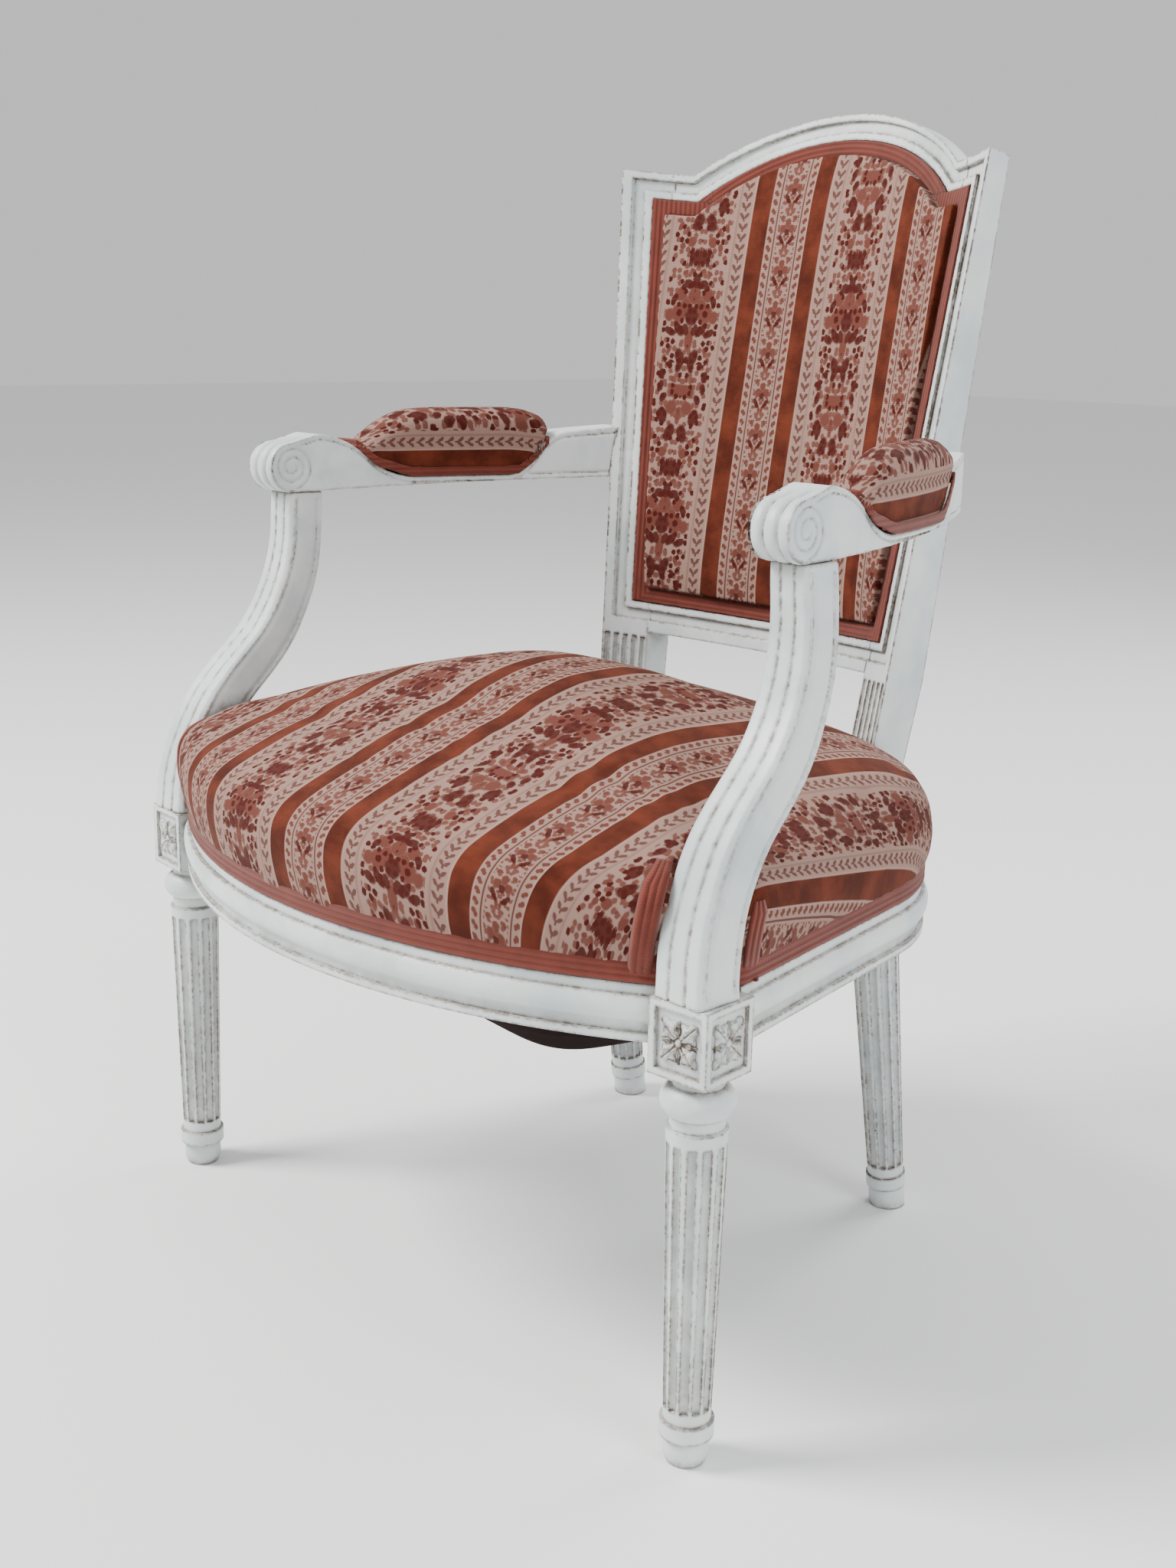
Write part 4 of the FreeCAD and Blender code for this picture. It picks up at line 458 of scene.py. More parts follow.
NARROW_MIDDLE = (
    Sprig(4.2, 2.6, 3.1, 3.6, 20), Sprig(0, 7.6, 2.9, 3.6), Sprig(1.6, -10.5, 1.4, 3.6, -14),
    Sprig(6.8, 11.5, 1.7, 2.2, 20),
)
VINE = (Sprig(2.4, 0.6, 1.5, 3.0, -38), Sprig(0, -2.4, 0.95, 2.4))
DOTS = (Sprig(0.9, 0.6, 1.9, 1.8, -30), Sprig(-0.8, -1.2, 1.5, 1.8, 25))


@dataclass(frozen=True)
class Weave:
    """What the parts of the velvet's pattern share, in millimetres on the cloth."""

    along: Field
    from_narrow: Field
    from_wide: Field
    straight: Field
    ribs: Field
    threads: Field
    cloudy: Field
    fine: Field


@dataclass(frozen=True)
class StripedVelvet(Finish):
    """Cut velvet woven in stripes: plain bands, leafy borders and two kinds of flower column.

    The pattern mirrors about the middle of each column, so places across it are
    millimetres from the middle of the narrow column.
    """

    ground: tuple = srgb(168, 138, 126)
    ground_shadow: tuple = srgb(112, 82, 72)
    dark_pile: tuple = srgb(66, 12, 6)
    middle_pile: tuple = srgb(92, 34, 22)
    band: tuple = srgb(102, 46, 29)
    band_deep: tuple = srgb(66, 24, 13)
    sheen: tuple = (1.0, 0.78, 0.68, 1.0)
    half_repeat: float = 82.0
    column_pitch: float = 156.0
    column_stretch: float = 1.12
    column_half: float = 28.5
    sprig_pitch: float = 33.0
    sprig_half: float = 10.6
    vine_place: float = 45.5
    vine_pitch: float = 8.4
    vine_half: float = 5.4
    dot_place: float = 16.7
    dot_pitch: float = 7.4
    band_place: float = 29.2
    band_half: float = 8.4
    thin_line: float = 12.2
    pale_line: float = 51.6
    selvages: tuple = (38.4, 20.0)
    block_halves: tuple = (11.5, 6.8)
    basket_halves: tuple = (13.0, 5.0)
    basket_place: float = 57.5
    slot_pitch: float = 4.6
    rib_pitch: float = 0.95
    thread_pitch: float = 0.8
    waver: float = 2.4
    waver_scale: float = 0.55
    cloud_scale: float = 0.035
    fluff_scale: float = 1.6
    leaf_scale: float = 0.19
    leaf_half: float = 26.0
    small_leaf_scale: float = 0.26
    small_leaf_half: float = 9.6
    relief: float = 0.0006
    offset: tuple = (0.0, 0.0)

    def motif(self, graph: Graph, across: Field, along: Field, pitch: float, sprigs: tuple) -> Field:
        """Nearness to some sprigs: under 1 inside a sprig.

        Args:
            graph: the material's nodes.
            across: distance from the column's middle, in millimetres.
            along: distance along the cloth, in millimetres.
            pitch: distance from one motif to the next.
            sprigs: the sprigs.

        Returns:
            The smallest distance, as a share of the sprig's own size.
        """
        point = graph.combine(across, along.wrapped(pitch), 1.0)
        nearest = None
        for sprig in sprigs:
            cosine = math.cos(math.radians(sprig.turn))
            sine = math.sin(math.radians(sprig.turn))
            shift = cosine * sprig.across + sine * sprig.along
            lift = cosine * sprig.along - sine * sprig.across
            row = (cosine / sprig.half_across, sine / sprig.half_across, -shift / sprig.half_across)
            column = (-sine / sprig.half_along, cosine / sprig.half_along, -lift / sprig.half_along)
            first = graph.dot(point, row)
            second = graph.dot(point, column)
            square = second.times_plus(second, first * first)
            nearest = square if nearest is None else nearest.minimum(square)
        return nearest.root()

    def foliage(self, graph: Graph, across: Field, along: Field, scale: float, half: float,
                ragged: Field) -> tuple[Field, Field]:
        """Small leaves scattered between the flowers of a column.

        Args:
            graph: the material's nodes.
            across: distance from the column's middle, in millimetres.
            along: distance from the motif's middle, in millimetres.
            scale: leaves per millimetre.
            half: half of the column's width, in millimetres.
            ragged: unevenness of the pile's edge.

        Returns:
            The cover of the middle tone and of the dark tone.
        """
        field = graph.cells(None, scale, voronoi_dimensions="2D")
        graph.fill(field.socket.node, {"Vector": graph.combine(across, along), "Randomness": 0.8})
        edge = ragged.times_plus(0.5, field)
        cover = graph.span(edge, 0.33, 0.45, 1.0, 0.0) * graph.near(across, 0.0, half, 0.8)
        pick = graph.separate(field.sibling("Color"))[0]
        deep = cover * pick.over(0.66)
        return cover * 0.9, deep

    def weave(self, graph: Graph) -> Weave:
        """Lay out the cloth's coordinates and textures.

        Args:
            graph: the material's nodes.

        Returns:
            What the parts of the pattern share.
        """
        offset = (self.offset[0] * MILLIMETRES, self.offset[1] * MILLIMETRES, 0)
        cloth = graph.mapping(graph.cloth_coordinates(), (MILLIMETRES, MILLIMETRES, MILLIMETRES), offset)
        sway = graph.noise(cloth, self.waver_scale, 3.0, 0.5, "Color")
        sway_across, sway_along, _ = graph.separate(sway)
        plain_across, plain_along, _ = graph.separate(cloth)
        across = plain_across + (sway_across - 0.5) * self.waver
        along = plain_along + (sway_along - 0.5) * self.waver
        from_narrow = across.folded(self.half_repeat)
        from_wide = graph.math("SUBTRACT", self.half_repeat, from_narrow)
        straight = plain_across.folded(self.half_repeat)
        ribs = plain_along.wave(self.rib_pitch)
        threads = plain_across.wave(self.thread_pitch)
        cloudy = graph.noise(cloth, self.cloud_scale, 4.0, 0.6)
        fine = graph.noise(cloth, self.fluff_scale, 3.0, 0.7)
        return Weave(along, from_narrow, from_wide, straight, ribs, threads, cloudy, fine)

    def flowers(self, graph: Graph, weave: Weave) -> tuple[Field, Field]:
        """Draw the flower columns, the vines and the rows of dots.

        Args:
            graph: the material's nodes.
            weave: what the parts of the pattern share.

        Returns:
            The cover of the middle tone and of the dark tone.
        """
        from_wide, from_narrow, along = weave.from_wide, weave.from_narrow, weave.along
        column = along / self.column_stretch
        wide_dark = self.motif(graph, from_wide, column, self.column_pitch, WIDE_DARK)
        wide_middle = self.motif(graph, from_wide, column, self.column_pitch, WIDE_MIDDLE)
        in_motif = column.wrapped(self.column_pitch)
        block = (from_wide / self.block_halves[0]).maximum(in_motif.absolute() / self.block_halves[1])
        basket = (from_wide / self.basket_halves[0]).maximum(
            (in_motif - self.basket_place).absolute() / self.basket_halves[1])
        block = block + from_wide.wave(self.slot_pitch).over(0.75) * 0.25
        wide_dark = wide_dark.minimum(block)
        wide_middle = wide_middle.minimum(basket)
        narrow_dark = self.motif(graph, from_narrow, along, self.sprig_pitch, NARROW_DARK)
        narrow_middle = self.motif(graph, from_narrow, along, self.sprig_pitch, NARROW_MIDDLE)
        vine_side = (from_narrow - self.vine_place).absolute()
        vine = self.motif(graph, vine_side, along, self.vine_pitch, VINE)
        dots = self.motif(graph, from_narrow - self.dot_place, along, self.dot_pitch, DOTS)
        in_wide = from_wide.under(self.column_half)
        in_narrow = from_narrow.under(self.sprig_half)
        in_vine = vine_side.under(self.vine_half)
        ragged = (weave.fine - 0.5) * 0.55

        def shown(nearness: Field, where: Value) -> Field:
            """How far the pile covers the ground."""
            return graph.span(nearness + ragged, 0.82, 1.12, 1.0, 0.0) * where

        wide_leaves, wide_deep = self.foliage(graph, from_wide, in_motif, self.leaf_scale,
                                              self.leaf_half, ragged)
        in_sprig = along.wrapped(self.sprig_pitch)
        narrow_leaves, _ = self.foliage(graph, from_narrow, in_sprig, self.small_leaf_scale,
                                        self.small_leaf_half, ragged)
        middle = shown(wide_middle, in_wide).maximum(shown(narrow_middle, in_narrow))
        middle = middle.maximum(wide_leaves).maximum(narrow_leaves)
        middle = middle.maximum(shown(dots, 1.0))
        dark = shown(wide_dark, in_wide).maximum(shown(narrow_dark, in_narrow))
        dark = dark.maximum(wide_deep)
        dark = dark.maximum(shown(vine, in_vine) * 0.8)
        return middle, dark

    def draw(self, graph: Graph) -> None:
        """Draw the velvet.

        Args:
            graph: the material's nodes.
        """
        weave = self.weave(graph)
        fine = weave.fine
        rib_shade = weave.ribs.times_plus(0.22, 0.45).held_sum((fine - 0.5) * 0.7)
        ground = graph.mix(rib_shade, self.ground, self.ground_shadow)
        middle, dark = self.flowers(graph, weave)
        thin = graph.near(weave.straight, self.thin_line, 0.45, 0.45)
        pale = graph.near(weave.straight, self.pale_line, 0.7, 0.6)
        outer_selvage = graph.near(weave.straight, self.selvages[0], 0.6, 0.5)
        selvage = outer_selvage.maximum(graph.near(weave.straight, self.selvages[1], 0.5, 0.4))
        band = graph.near(weave.straight, self.band_place, self.band_half, 0.9)
        # Mottled nap on the bands: the pile's own patchiness, with its sheen painted in as lighter patches
        # and its shade painted in as darker ones
        nap_sheen_and_shade = weave.cloudy * 1.3 + fine * 0.5
        nap_sheen_and_shade = nap_sheen_and_shade + weave.ribs * 0.07
        band_colour = graph.mix(graph.span(nap_sheen_and_shade, 0.62, 1.15), self.band, self.band_deep)
        petal = graph.mix(graph.span(fine, 0.35, 0.68), self.middle_pile, self.dark_pile)
        colour = graph.mix(pale * 0.45, ground, self.ground_shadow)
        colour = graph.mix(middle * 0.85, colour, graph.mix(0.75, petal, self.middle_pile))
        colour = graph.mix(dark * 0.93, colour, self.dark_pile)
        colour = graph.mix(thin * 0.8, colour, self.dark_pile)
        colour = graph.mix(band, colour, band_colour)
        colour = graph.mix(selvage * 0.55, colour, self.ground)
        pile = dark.maximum(middle).maximum(band)
        height = pile * 0.7 + fine * 0.35
        height = height + weave.ribs * 0.13
        height = height + weave.threads * 0.05
        normal = graph.bump(height, self.relief, 0.8)
        graph.surface({"Base Color": colour, "Roughness": 0.82, "Sheen Weight": 0.04, "Sheen Roughness": 0.45,
                       "Sheen Tint": self.sheen, "Specular IOR Level": 0.1, "Normal": normal})


@dataclass(frozen=True)
class Braid(Finish):
    """Terracotta gimp braid with lengthwise cords and fine cross threads."""

    cord: tuple = srgb(118, 53, 40)
    groove: tuple = srgb(76, 28, 20)
    cord_pitch: float = 0.0042
    thread_pitch: float = 0.0013
    thread_slant: float = 0.0009
    fluff_scale: float = 900.0
    cloud_scale: float = 60.0
    relief: float = 0.0006

    def draw(self, graph: Graph) -> None:
        """Draw the braid.

        Args:
            graph: the material's nodes.
        """
        along, across, _ = graph.separate(graph.cloth_coordinates())
        cords = across.wave(self.cord_pitch)
        slant = along + cords.absolute() * self.thread_slant
        threads = slant.wave(self.thread_pitch)
        fluff = graph.noise(graph.object_coordinates(), self.fluff_scale, 3.0, 0.7)
        cloudy = graph.noise(graph.object_coordinates(), self.cloud_scale, 3.0, 0.6)
        shade = cords.times_plus(-0.28, 0.34) + threads * 0.10
        shade = shade.held_sum((cloudy - 0.5) * 0.8)
        colour = graph.mix(shade, self.cord, self.groove)
        height = cords * 0.5 + threads * 0.22
        height = height + fluff * 0.4
        normal = graph.bump(height, self.relief, 0.9)
        graph.surface({"Base Color": colour, "Roughness": 0.85, "Sheen Weight": 0.15,
                       "Specular IOR Level": 0.25, "Normal": normal})


@dataclass(frozen=True)
class PlainCloth(Finish):
    """Woven cloth of one colour: webbing, canvas or dust cloth."""

    light: tuple
    deep: tuple
    thread: float = 0.0011
    cloud_scale: float = 24.0
    relief: float = 0.0004
    roughness: float = 0.9

    def draw(self, graph: Graph) -> None:
        """Draw the cloth.

        Args:
            graph: the material's nodes.
        """
        place = graph.object_coordinates()
        x, y, z = graph.separate(place)
        over = x.wave(self.thread)
        under = (y + z).wave(self.thread)
        weave = over * under
        cloudy = graph.noise(place, self.cloud_scale, 4.0, 0.6)
        colour = graph.mix((weave * 0.22).held_sum(cloudy), self.light, self.deep)
        graph.surface({"Base Color": colour, "Roughness": self.roughness, "Specular IOR Level": 0.05,
                       "Normal": graph.bump(weave, self.relief, 0.7)})


@dataclass(frozen=True)
class BareBeech(Finish):
    """Unpainted beech with straight grain and short rays."""

    light: tuple = srgb(178, 138, 98)
    deep: tuple = srgb(132, 94, 62)
    grain_stretch: tuple = (1.0, 8.0, 8.0)
    ray_stretch: tuple = (3.0, 1.0, 1.0)
    grain_scale: float = 30.0
    ray_scale: float = 160.0
    relief: float = 0.0004

    def draw(self, graph: Graph) -> None:
        """Draw the wood.

        Args:
            graph: the material's nodes.
        """
        place = graph.mapping(graph.object_coordinates(), self.grain_stretch)
        grain = graph.noise(place, self.grain_scale, 5.0, 0.65)
        rays = graph.noise(graph.mapping(place, self.ray_stretch), self.ray_scale, 2.0)
        shade = (grain * 0.8).held_sum(rays * 0.25)
        graph.surface({"Base Color": graph.mix(shade, self.light, self.deep), "Roughness": 0.6,
                       "Normal": graph.bump(grain, self.relief, 0.5)})


@dataclass(frozen=True)
class DullSteel(Finish):
    """Steel wire and screws, dulled by age."""

    bright: tuple = srgb(150, 142, 132)
    stained: tuple = srgb(96, 78, 62)
    stain_scale: float = 140.0

    def draw(self, graph: Graph) -> None:
        """Draw the steel.

        Args:
            graph: the material's nodes.
        """
        stain = graph.noise(graph.object_coordinates(), self.stain_scale, 4.0, 0.6)
        graph.surface({"Base Color": graph.mix(graph.span(stain, 0.45, 0.7), self.bright, self.stained),
                       "Metallic": 0.9, "Roughness": stain.times_plus(0.3, 0.28)})


def select_only(piece: bpy.types.Object) -> None:
    """Leave one piece selected and active.

    Args:
        piece: the piece.
    """
    bpy.ops.object.select_all(action="DESELECT")
    piece.select_set(True)
    bpy.context.view_layer.objects.active = piece


def new_shape(name: str, shape: Callable, **sizes) -> bpy.types.Object:
    """Add one of Blender's own shapes as a piece.

    Args:
        name: the piece's name.
        shape: the operator that adds it.
        sizes: the operator's sizes.

    Returns:
        The piece.
    """
    bpy.ops.object.select_all(action="DESELECT")
    shape(**sizes)
    piece = bpy.context.active_object
    piece.name = name
    return piece


def merged_copy(node: str, name: str) -> bpy.types.Object:
    """Copy a node of the frame as a start for a soft or carved piece.

    Args:
        node: the node's name.
        name: the new piece's name.

    Returns:
        The new piece, its loose triangles joined.
    """
    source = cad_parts[node]
    piece = bpy.data.objects.new(name, source.data.copy())
    bpy.context.scene.collection.objects.link(piece)
    piece.data.materials.clear()
    select_only(piece)
    bpy.ops.object.mode_set(mode="EDIT")
    bpy.ops.mesh.select_all(action="SELECT")
    bpy.ops.mesh.remove_doubles(threshold=0.00002)
    bpy.ops.mesh.normals_make_consistent(inside=False)
    bpy.ops.object.mode_set(mode="OBJECT")
    return piece


def apply_modifier(piece: bpy.types.Object, kind: str, **settings) -> None:
    """Add a modifier and apply it.

    Args:
        piece: the piece.
        kind: the modifier's type.
        settings: its settings.
    """
    modifier = piece.modifiers.new(kind.lower(), kind)
    for key, value in settings.items():
        setattr(modifier, key, value)
    select_only(piece)
    bpy.ops.object.modifier_apply(modifier=modifier.name)


def even_mesh(piece: bpy.types.Object, voxel: float) -> None:
    """Give a piece an even mesh with faces of about one size."""
    apply_modifier(piece, "REMESH", mode="VOXEL", voxel_size=voxel)


def ease(piece: bpy.types.Object, rounds: int) -> None:
    """Smooth a piece's mesh a number of times."""
    apply_modifier(piece, "SMOOTH", factor=0.5, iterations=rounds)


def divide(piece: bpy.types.Object) -> None:
    """Divide each face of a piece in four and round them."""
    apply_modifier(piece, "SUBSURF", levels=1, render_levels=1)


def read_points(piece: bpy.types.Object, attribute: str) -> np.ndarray:
    """Read a vector of each vertex.

    Args:
        piece: the piece.
        attribute: co for the place, or normal.

    Returns:
        One row for each vertex.
    """
    values = np.empty(len(piece.data.vertices) * 3)
    piece.data.vertices.foreach_get(attribute, values)
    return values.reshape(-1, 3)


def points_of(piece: bpy.types.Object) -> np.ndarray:
    """Vertex places of a piece."""
    return read_points(piece, "co")


def normals_of(piece: bpy.types.Object) -> np.ndarray:
    """Vertex normals of a piece."""
    return read_points(piece, "normal")


def move_points(piece: bpy.types.Object, places: np.ndarray) -> None:
    """Set the vertex places of a piece."""
    piece.data.vertices.foreach_set("co", places.reshape(-1))
    piece.data.update()


def ramp(distance: np.ndarray, length: float) -> np.ndarray:
    """Rise from 0 to 1 over a length, held at both ends."""
    return np.clip(distance / length, 0, 1)


def lay_cloth(piece: bpy.types.Object, across: np.ndarray, along: np.ndarray) -> None:
    """Lay cloth coordinates on a piece, in metres.

    Args:
        piece: the piece.
        across: distance across the cloth for each vertex.
        along: distance along the cloth for each vertex.
    """
    layer = piece.data.uv_layers.new(name="cloth")
    corner = np.empty(len(piece.data.loops), dtype=np.int32)
    piece.data.loops.foreach_get("vertex_index", corner)
    pairs = np.stack([across[corner], along[corner]], axis=1)
    layer.data.foreach_set("uv", pairs.reshape(-1))


def smooth(piece: bpy.types.Object, degrees: float) -> None:
    """Shade a piece smooth up to an angle."""
    select_only(piece)
    bpy.ops.object.shade_smooth_by_angle(angle=math.radians(degrees))


def finish_piece(piece: bpy.types.Object, material: bpy.types.Material, nodes: tuple) -> None:
    """Dress a piece, hide the nodes that it stands for and let it ride on the chair.

    Args:
        piece: the piece.
        material: its finish.
        nodes: the nodes that it replaces.
    """
    piece.data.materials.clear()
    piece.data.materials.append(material)
    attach(piece, BODY)
    if nodes:
        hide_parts(*nodes)
    LOG.info("%s: %d faces", piece.name, len(piece.data.polygons))


@dataclass
class Swelling:
    """Swells a soft piece with a cloth simulation and keeps each point near where it began."""

    pressure: float
    cap: float
    frames: int = 20
    quality: int = 6
    mass: float = 0.25
    stretch: float = 18
    shear: float = 6
    bending: float = 1.2
    hold_steps: tuple = (0.25, 0.5, 0.75, 1.0)
    held_share: float = 0.95

    def hold(self, piece: bpy.types.Object, held: np.ndarray) -> None:
        """Pin the piece in steps.

        Args:
            piece: the piece.
            held: for each vertex, how firmly it is held, from 0 to 1.
        """
        group = piece.vertex_groups.new(name="held")
        for level in self.hold_steps:
            chosen = np.nonzero((held > level - self.hold_steps[0]) & (held <= level))[0]
            if len(chosen):
                group.add([int(index) for index in chosen], level, "REPLACE")

    def simulate(self, piece: bpy.types.Object) -> None:
        """Run the simulation and apply it.

        Args:
            piece: the piece.
        """
        cloth = piece.modifiers.new("swell", "CLOTH")
        settings = cloth.settings
        settings.quality = self.quality
        settings.mass = self.mass
        settings.tension_stiffness = self.stretch
        settings.compression_stiffness = self.stretch
        settings.shear_stiffness = self.shear
        settings.bending_stiffness = self.bending
        settings.use_pressure = True
        settings.uniform_pressure_force = self.pressure
        settings.effector_weights.gravity = 0.0
        settings.vertex_group_mass = "held"
        settings.pin_stiffness = 1.0
        cloth.point_cache.frame_start = 1
        cloth.point_cache.frame_end = self.frames
        scene = bpy.context.scene
        for number in range(1, self.frames + 1):
            scene.frame_set(number)
        select_only(piece)
        bpy.ops.object.modifier_apply(modifier=cloth.name)
        scene.frame_set(1)

    def apply(self, piece: bpy.types.Object, held: np.ndarray) -> None:
        """Swell a piece.

        Args:
            piece: the piece, an even closed mesh.
            held: for each vertex, how firmly it is held, from 0 to 1.
        """
        before = points_of(piece)
        self.hold(piece, held)
        self.simulate(piece)
        move = points_of(piece) - before
        distance = np.linalg.norm(move, axis=1, keepdims=True)
        allowed = self.cap * (1.0 - held[:, None] * self.held_share)
        limit = np.minimum(1.0, allowed / np.maximum(distance, 1e-9))
        move_points(piece, before + move * limit)
        piece.vertex_groups.clear()


@dataclass
class SeatPlan:
    """Plan of the seat as its rails draw it, for laying cloth and braid."""

    half_width: float = 0.290
    front: float = -0.090 + SHIFT
    back: float = 0.372 + SHIFT
    power: float = 3.2

    def outward(self, places: np.ndarray) -> np.ndarray:
        """Direction away from the seat's middle, square to its outline.

        Args:
            places: the points.

        Returns:
            A unit vector in plan for each point.
        """
        middle = (self.front + self.back) / 2
        half_depth = (self.back - self.front) / 2
        x = places[:, 0] / self.half_width
        y = (places[:, 1] - middle) / half_depth
        way = np.stack([np.sign(x) * np.abs(x) ** self.power / self.half_width,
                        np.sign(y) * np.abs(y) ** self.power / half_depth], axis=1)
        size = np.linalg.norm(way, axis=1, keepdims=True)
        return way / np.maximum(size, 1e-9)


@dataclass
class Seat:
    """Sprung seat: domed velvet cushion and the braid round its foot."""

    plan: SeatPlan
    voxel: float = 0.0055
    shoulder: float = 0.392
    foot_height: float = 0.012
    foot_drop: float = 0.0165
    support_x: float = 0.2865
    support_y: float = SHIFT
    support_reach: float = 0.062
    support_clear: float = 0.03
    fade: float = 0.03
    braid_top: float = 0.345
    braid_fade: float = 0.012
    swell_from: float = 0.336
    swell_fade: float = 0.02
    swell: float = 0.0005
    cloth: float = 0.0022
    under: float = -0.3
    pressure: float = 3.0
    cap: float = 0.006
    braid_voxel: float = 0.0012
    cords: int = 3
    cord_height: float = 0.0007
    cord_sink: float = 0.0002
    turn_middle: float = 0.2 + SHIFT
    turn_radius: float = 0.3

    def from_support(self, places: np.ndarray) -> np.ndarray:
        """Distance of each point from the nearer support, in plan."""
        return np.hypot(np.abs(places[:, 0]) - self.support_x, places[:, 1] - self.support_y)

    def cushion(self, velvet: bpy.types.Material) -> bpy.types.Object:
        """Build the domed cushion.

        Args:
            velvet: its cloth.

        Returns:
            The cushion.
        """
        piece = merged_copy("seat_stuffing", "seat_cushion")
        even_mesh(piece, self.voxel)
        places = points_of(piece)
        # The foot of the cushion is drawn down behind the braid
        foot = ramp(places[:, 2].min() + self.foot_height - places[:, 2], self.foot_height)
        places[:, 2] -= foot * self.foot_drop
        move_points(piece, places)
        held = ramp(self.support_reach - self.from_support(places), self.fade)
        held = np.maximum(held, ramp(self.braid_top - places[:, 2], self.braid_fade))
        Swelling(self.pressure, self.cap).apply(piece, held)
        places = points_of(piece)
        outward = self.plan.outward(places)
        rise = ramp(places[:, 2] - self.swell_from, self.swell_fade)
        free = ramp(self.from_support(places) - self.support_clear, self.fade)
        normals = normals_of(piece)
        above = (normals[:, 2] > self.under)[:, None]
        places = places + normals * (self.cloth * above)
        places[:, :2] += outward * (self.swell * rise * free)[:, None]
        move_points(piece, places)
        ease(piece, 3)
        divide(piece)
        places = points_of(piece)
        outward = self.plan.outward(places)
        drop = np.maximum(self.shoulder - places[:, 2], 0)
        lay_cloth(piece, places[:, 0] + outward[:, 0] * drop, places[:, 1] + outward[:, 1] * drop)
        smooth(piece, ALL_ROUND)
        finish_piece(piece, velvet, ("seat_cover", "seat_stuffing"))
        return piece

    def braid(self, run: Run, finish: bpy.types.Material) -> None:
        """Build one length of the braid round the seat.

        Args:
            run: where it runs.
            finish: the braid's finish.
        """
        node = "seat_gimp_" + run.value
        piece = merged_copy(node, "seat_braid_" + run.value)
        even_mesh(piece, self.braid_voxel)
        places = points_of(piece)
        low = places[:, 2].min()
        width = places[:, 2].max() - low
        share = (places[:, 2] - low) / width
        outward = self.plan.outward(places)
        ridges = 0.5 - 0.5 * np.cos(share * math.tau * self.cords)
        places[:, :2] += outward * (self.cord_height * ridges - self.cord_sink)[:, None]
        move_points(piece, places)
        turn = np.arctan2(places[:, 0], -(places[:, 1] - self.turn_middle))
        # A quarter of a cord's pitch brings the finish's grooves into the mesh's
        lay_cloth(piece, turn * self.turn_radius, (places[:, 2] - low) - 0.25 * width / self.cords)
        smooth(piece, ALL_ROUND)
        finish_piece(piece, finish, (node,))

    def build(self, velvet: bpy.types.Material, braid: bpy.types.Material) -> bpy.types.Object:
        """Build the cushion and its braid.

        Args:
            velvet: the cushion's cloth.
            braid: the braid's finish.

        Returns:
            The cushion.
        """
        cushion = self.cushion(velvet)
        for run in (Run.FRONT, Run.REAR, Run.RIGHT, Run.LEFT):
            self.braid(run, braid)
        return cushion


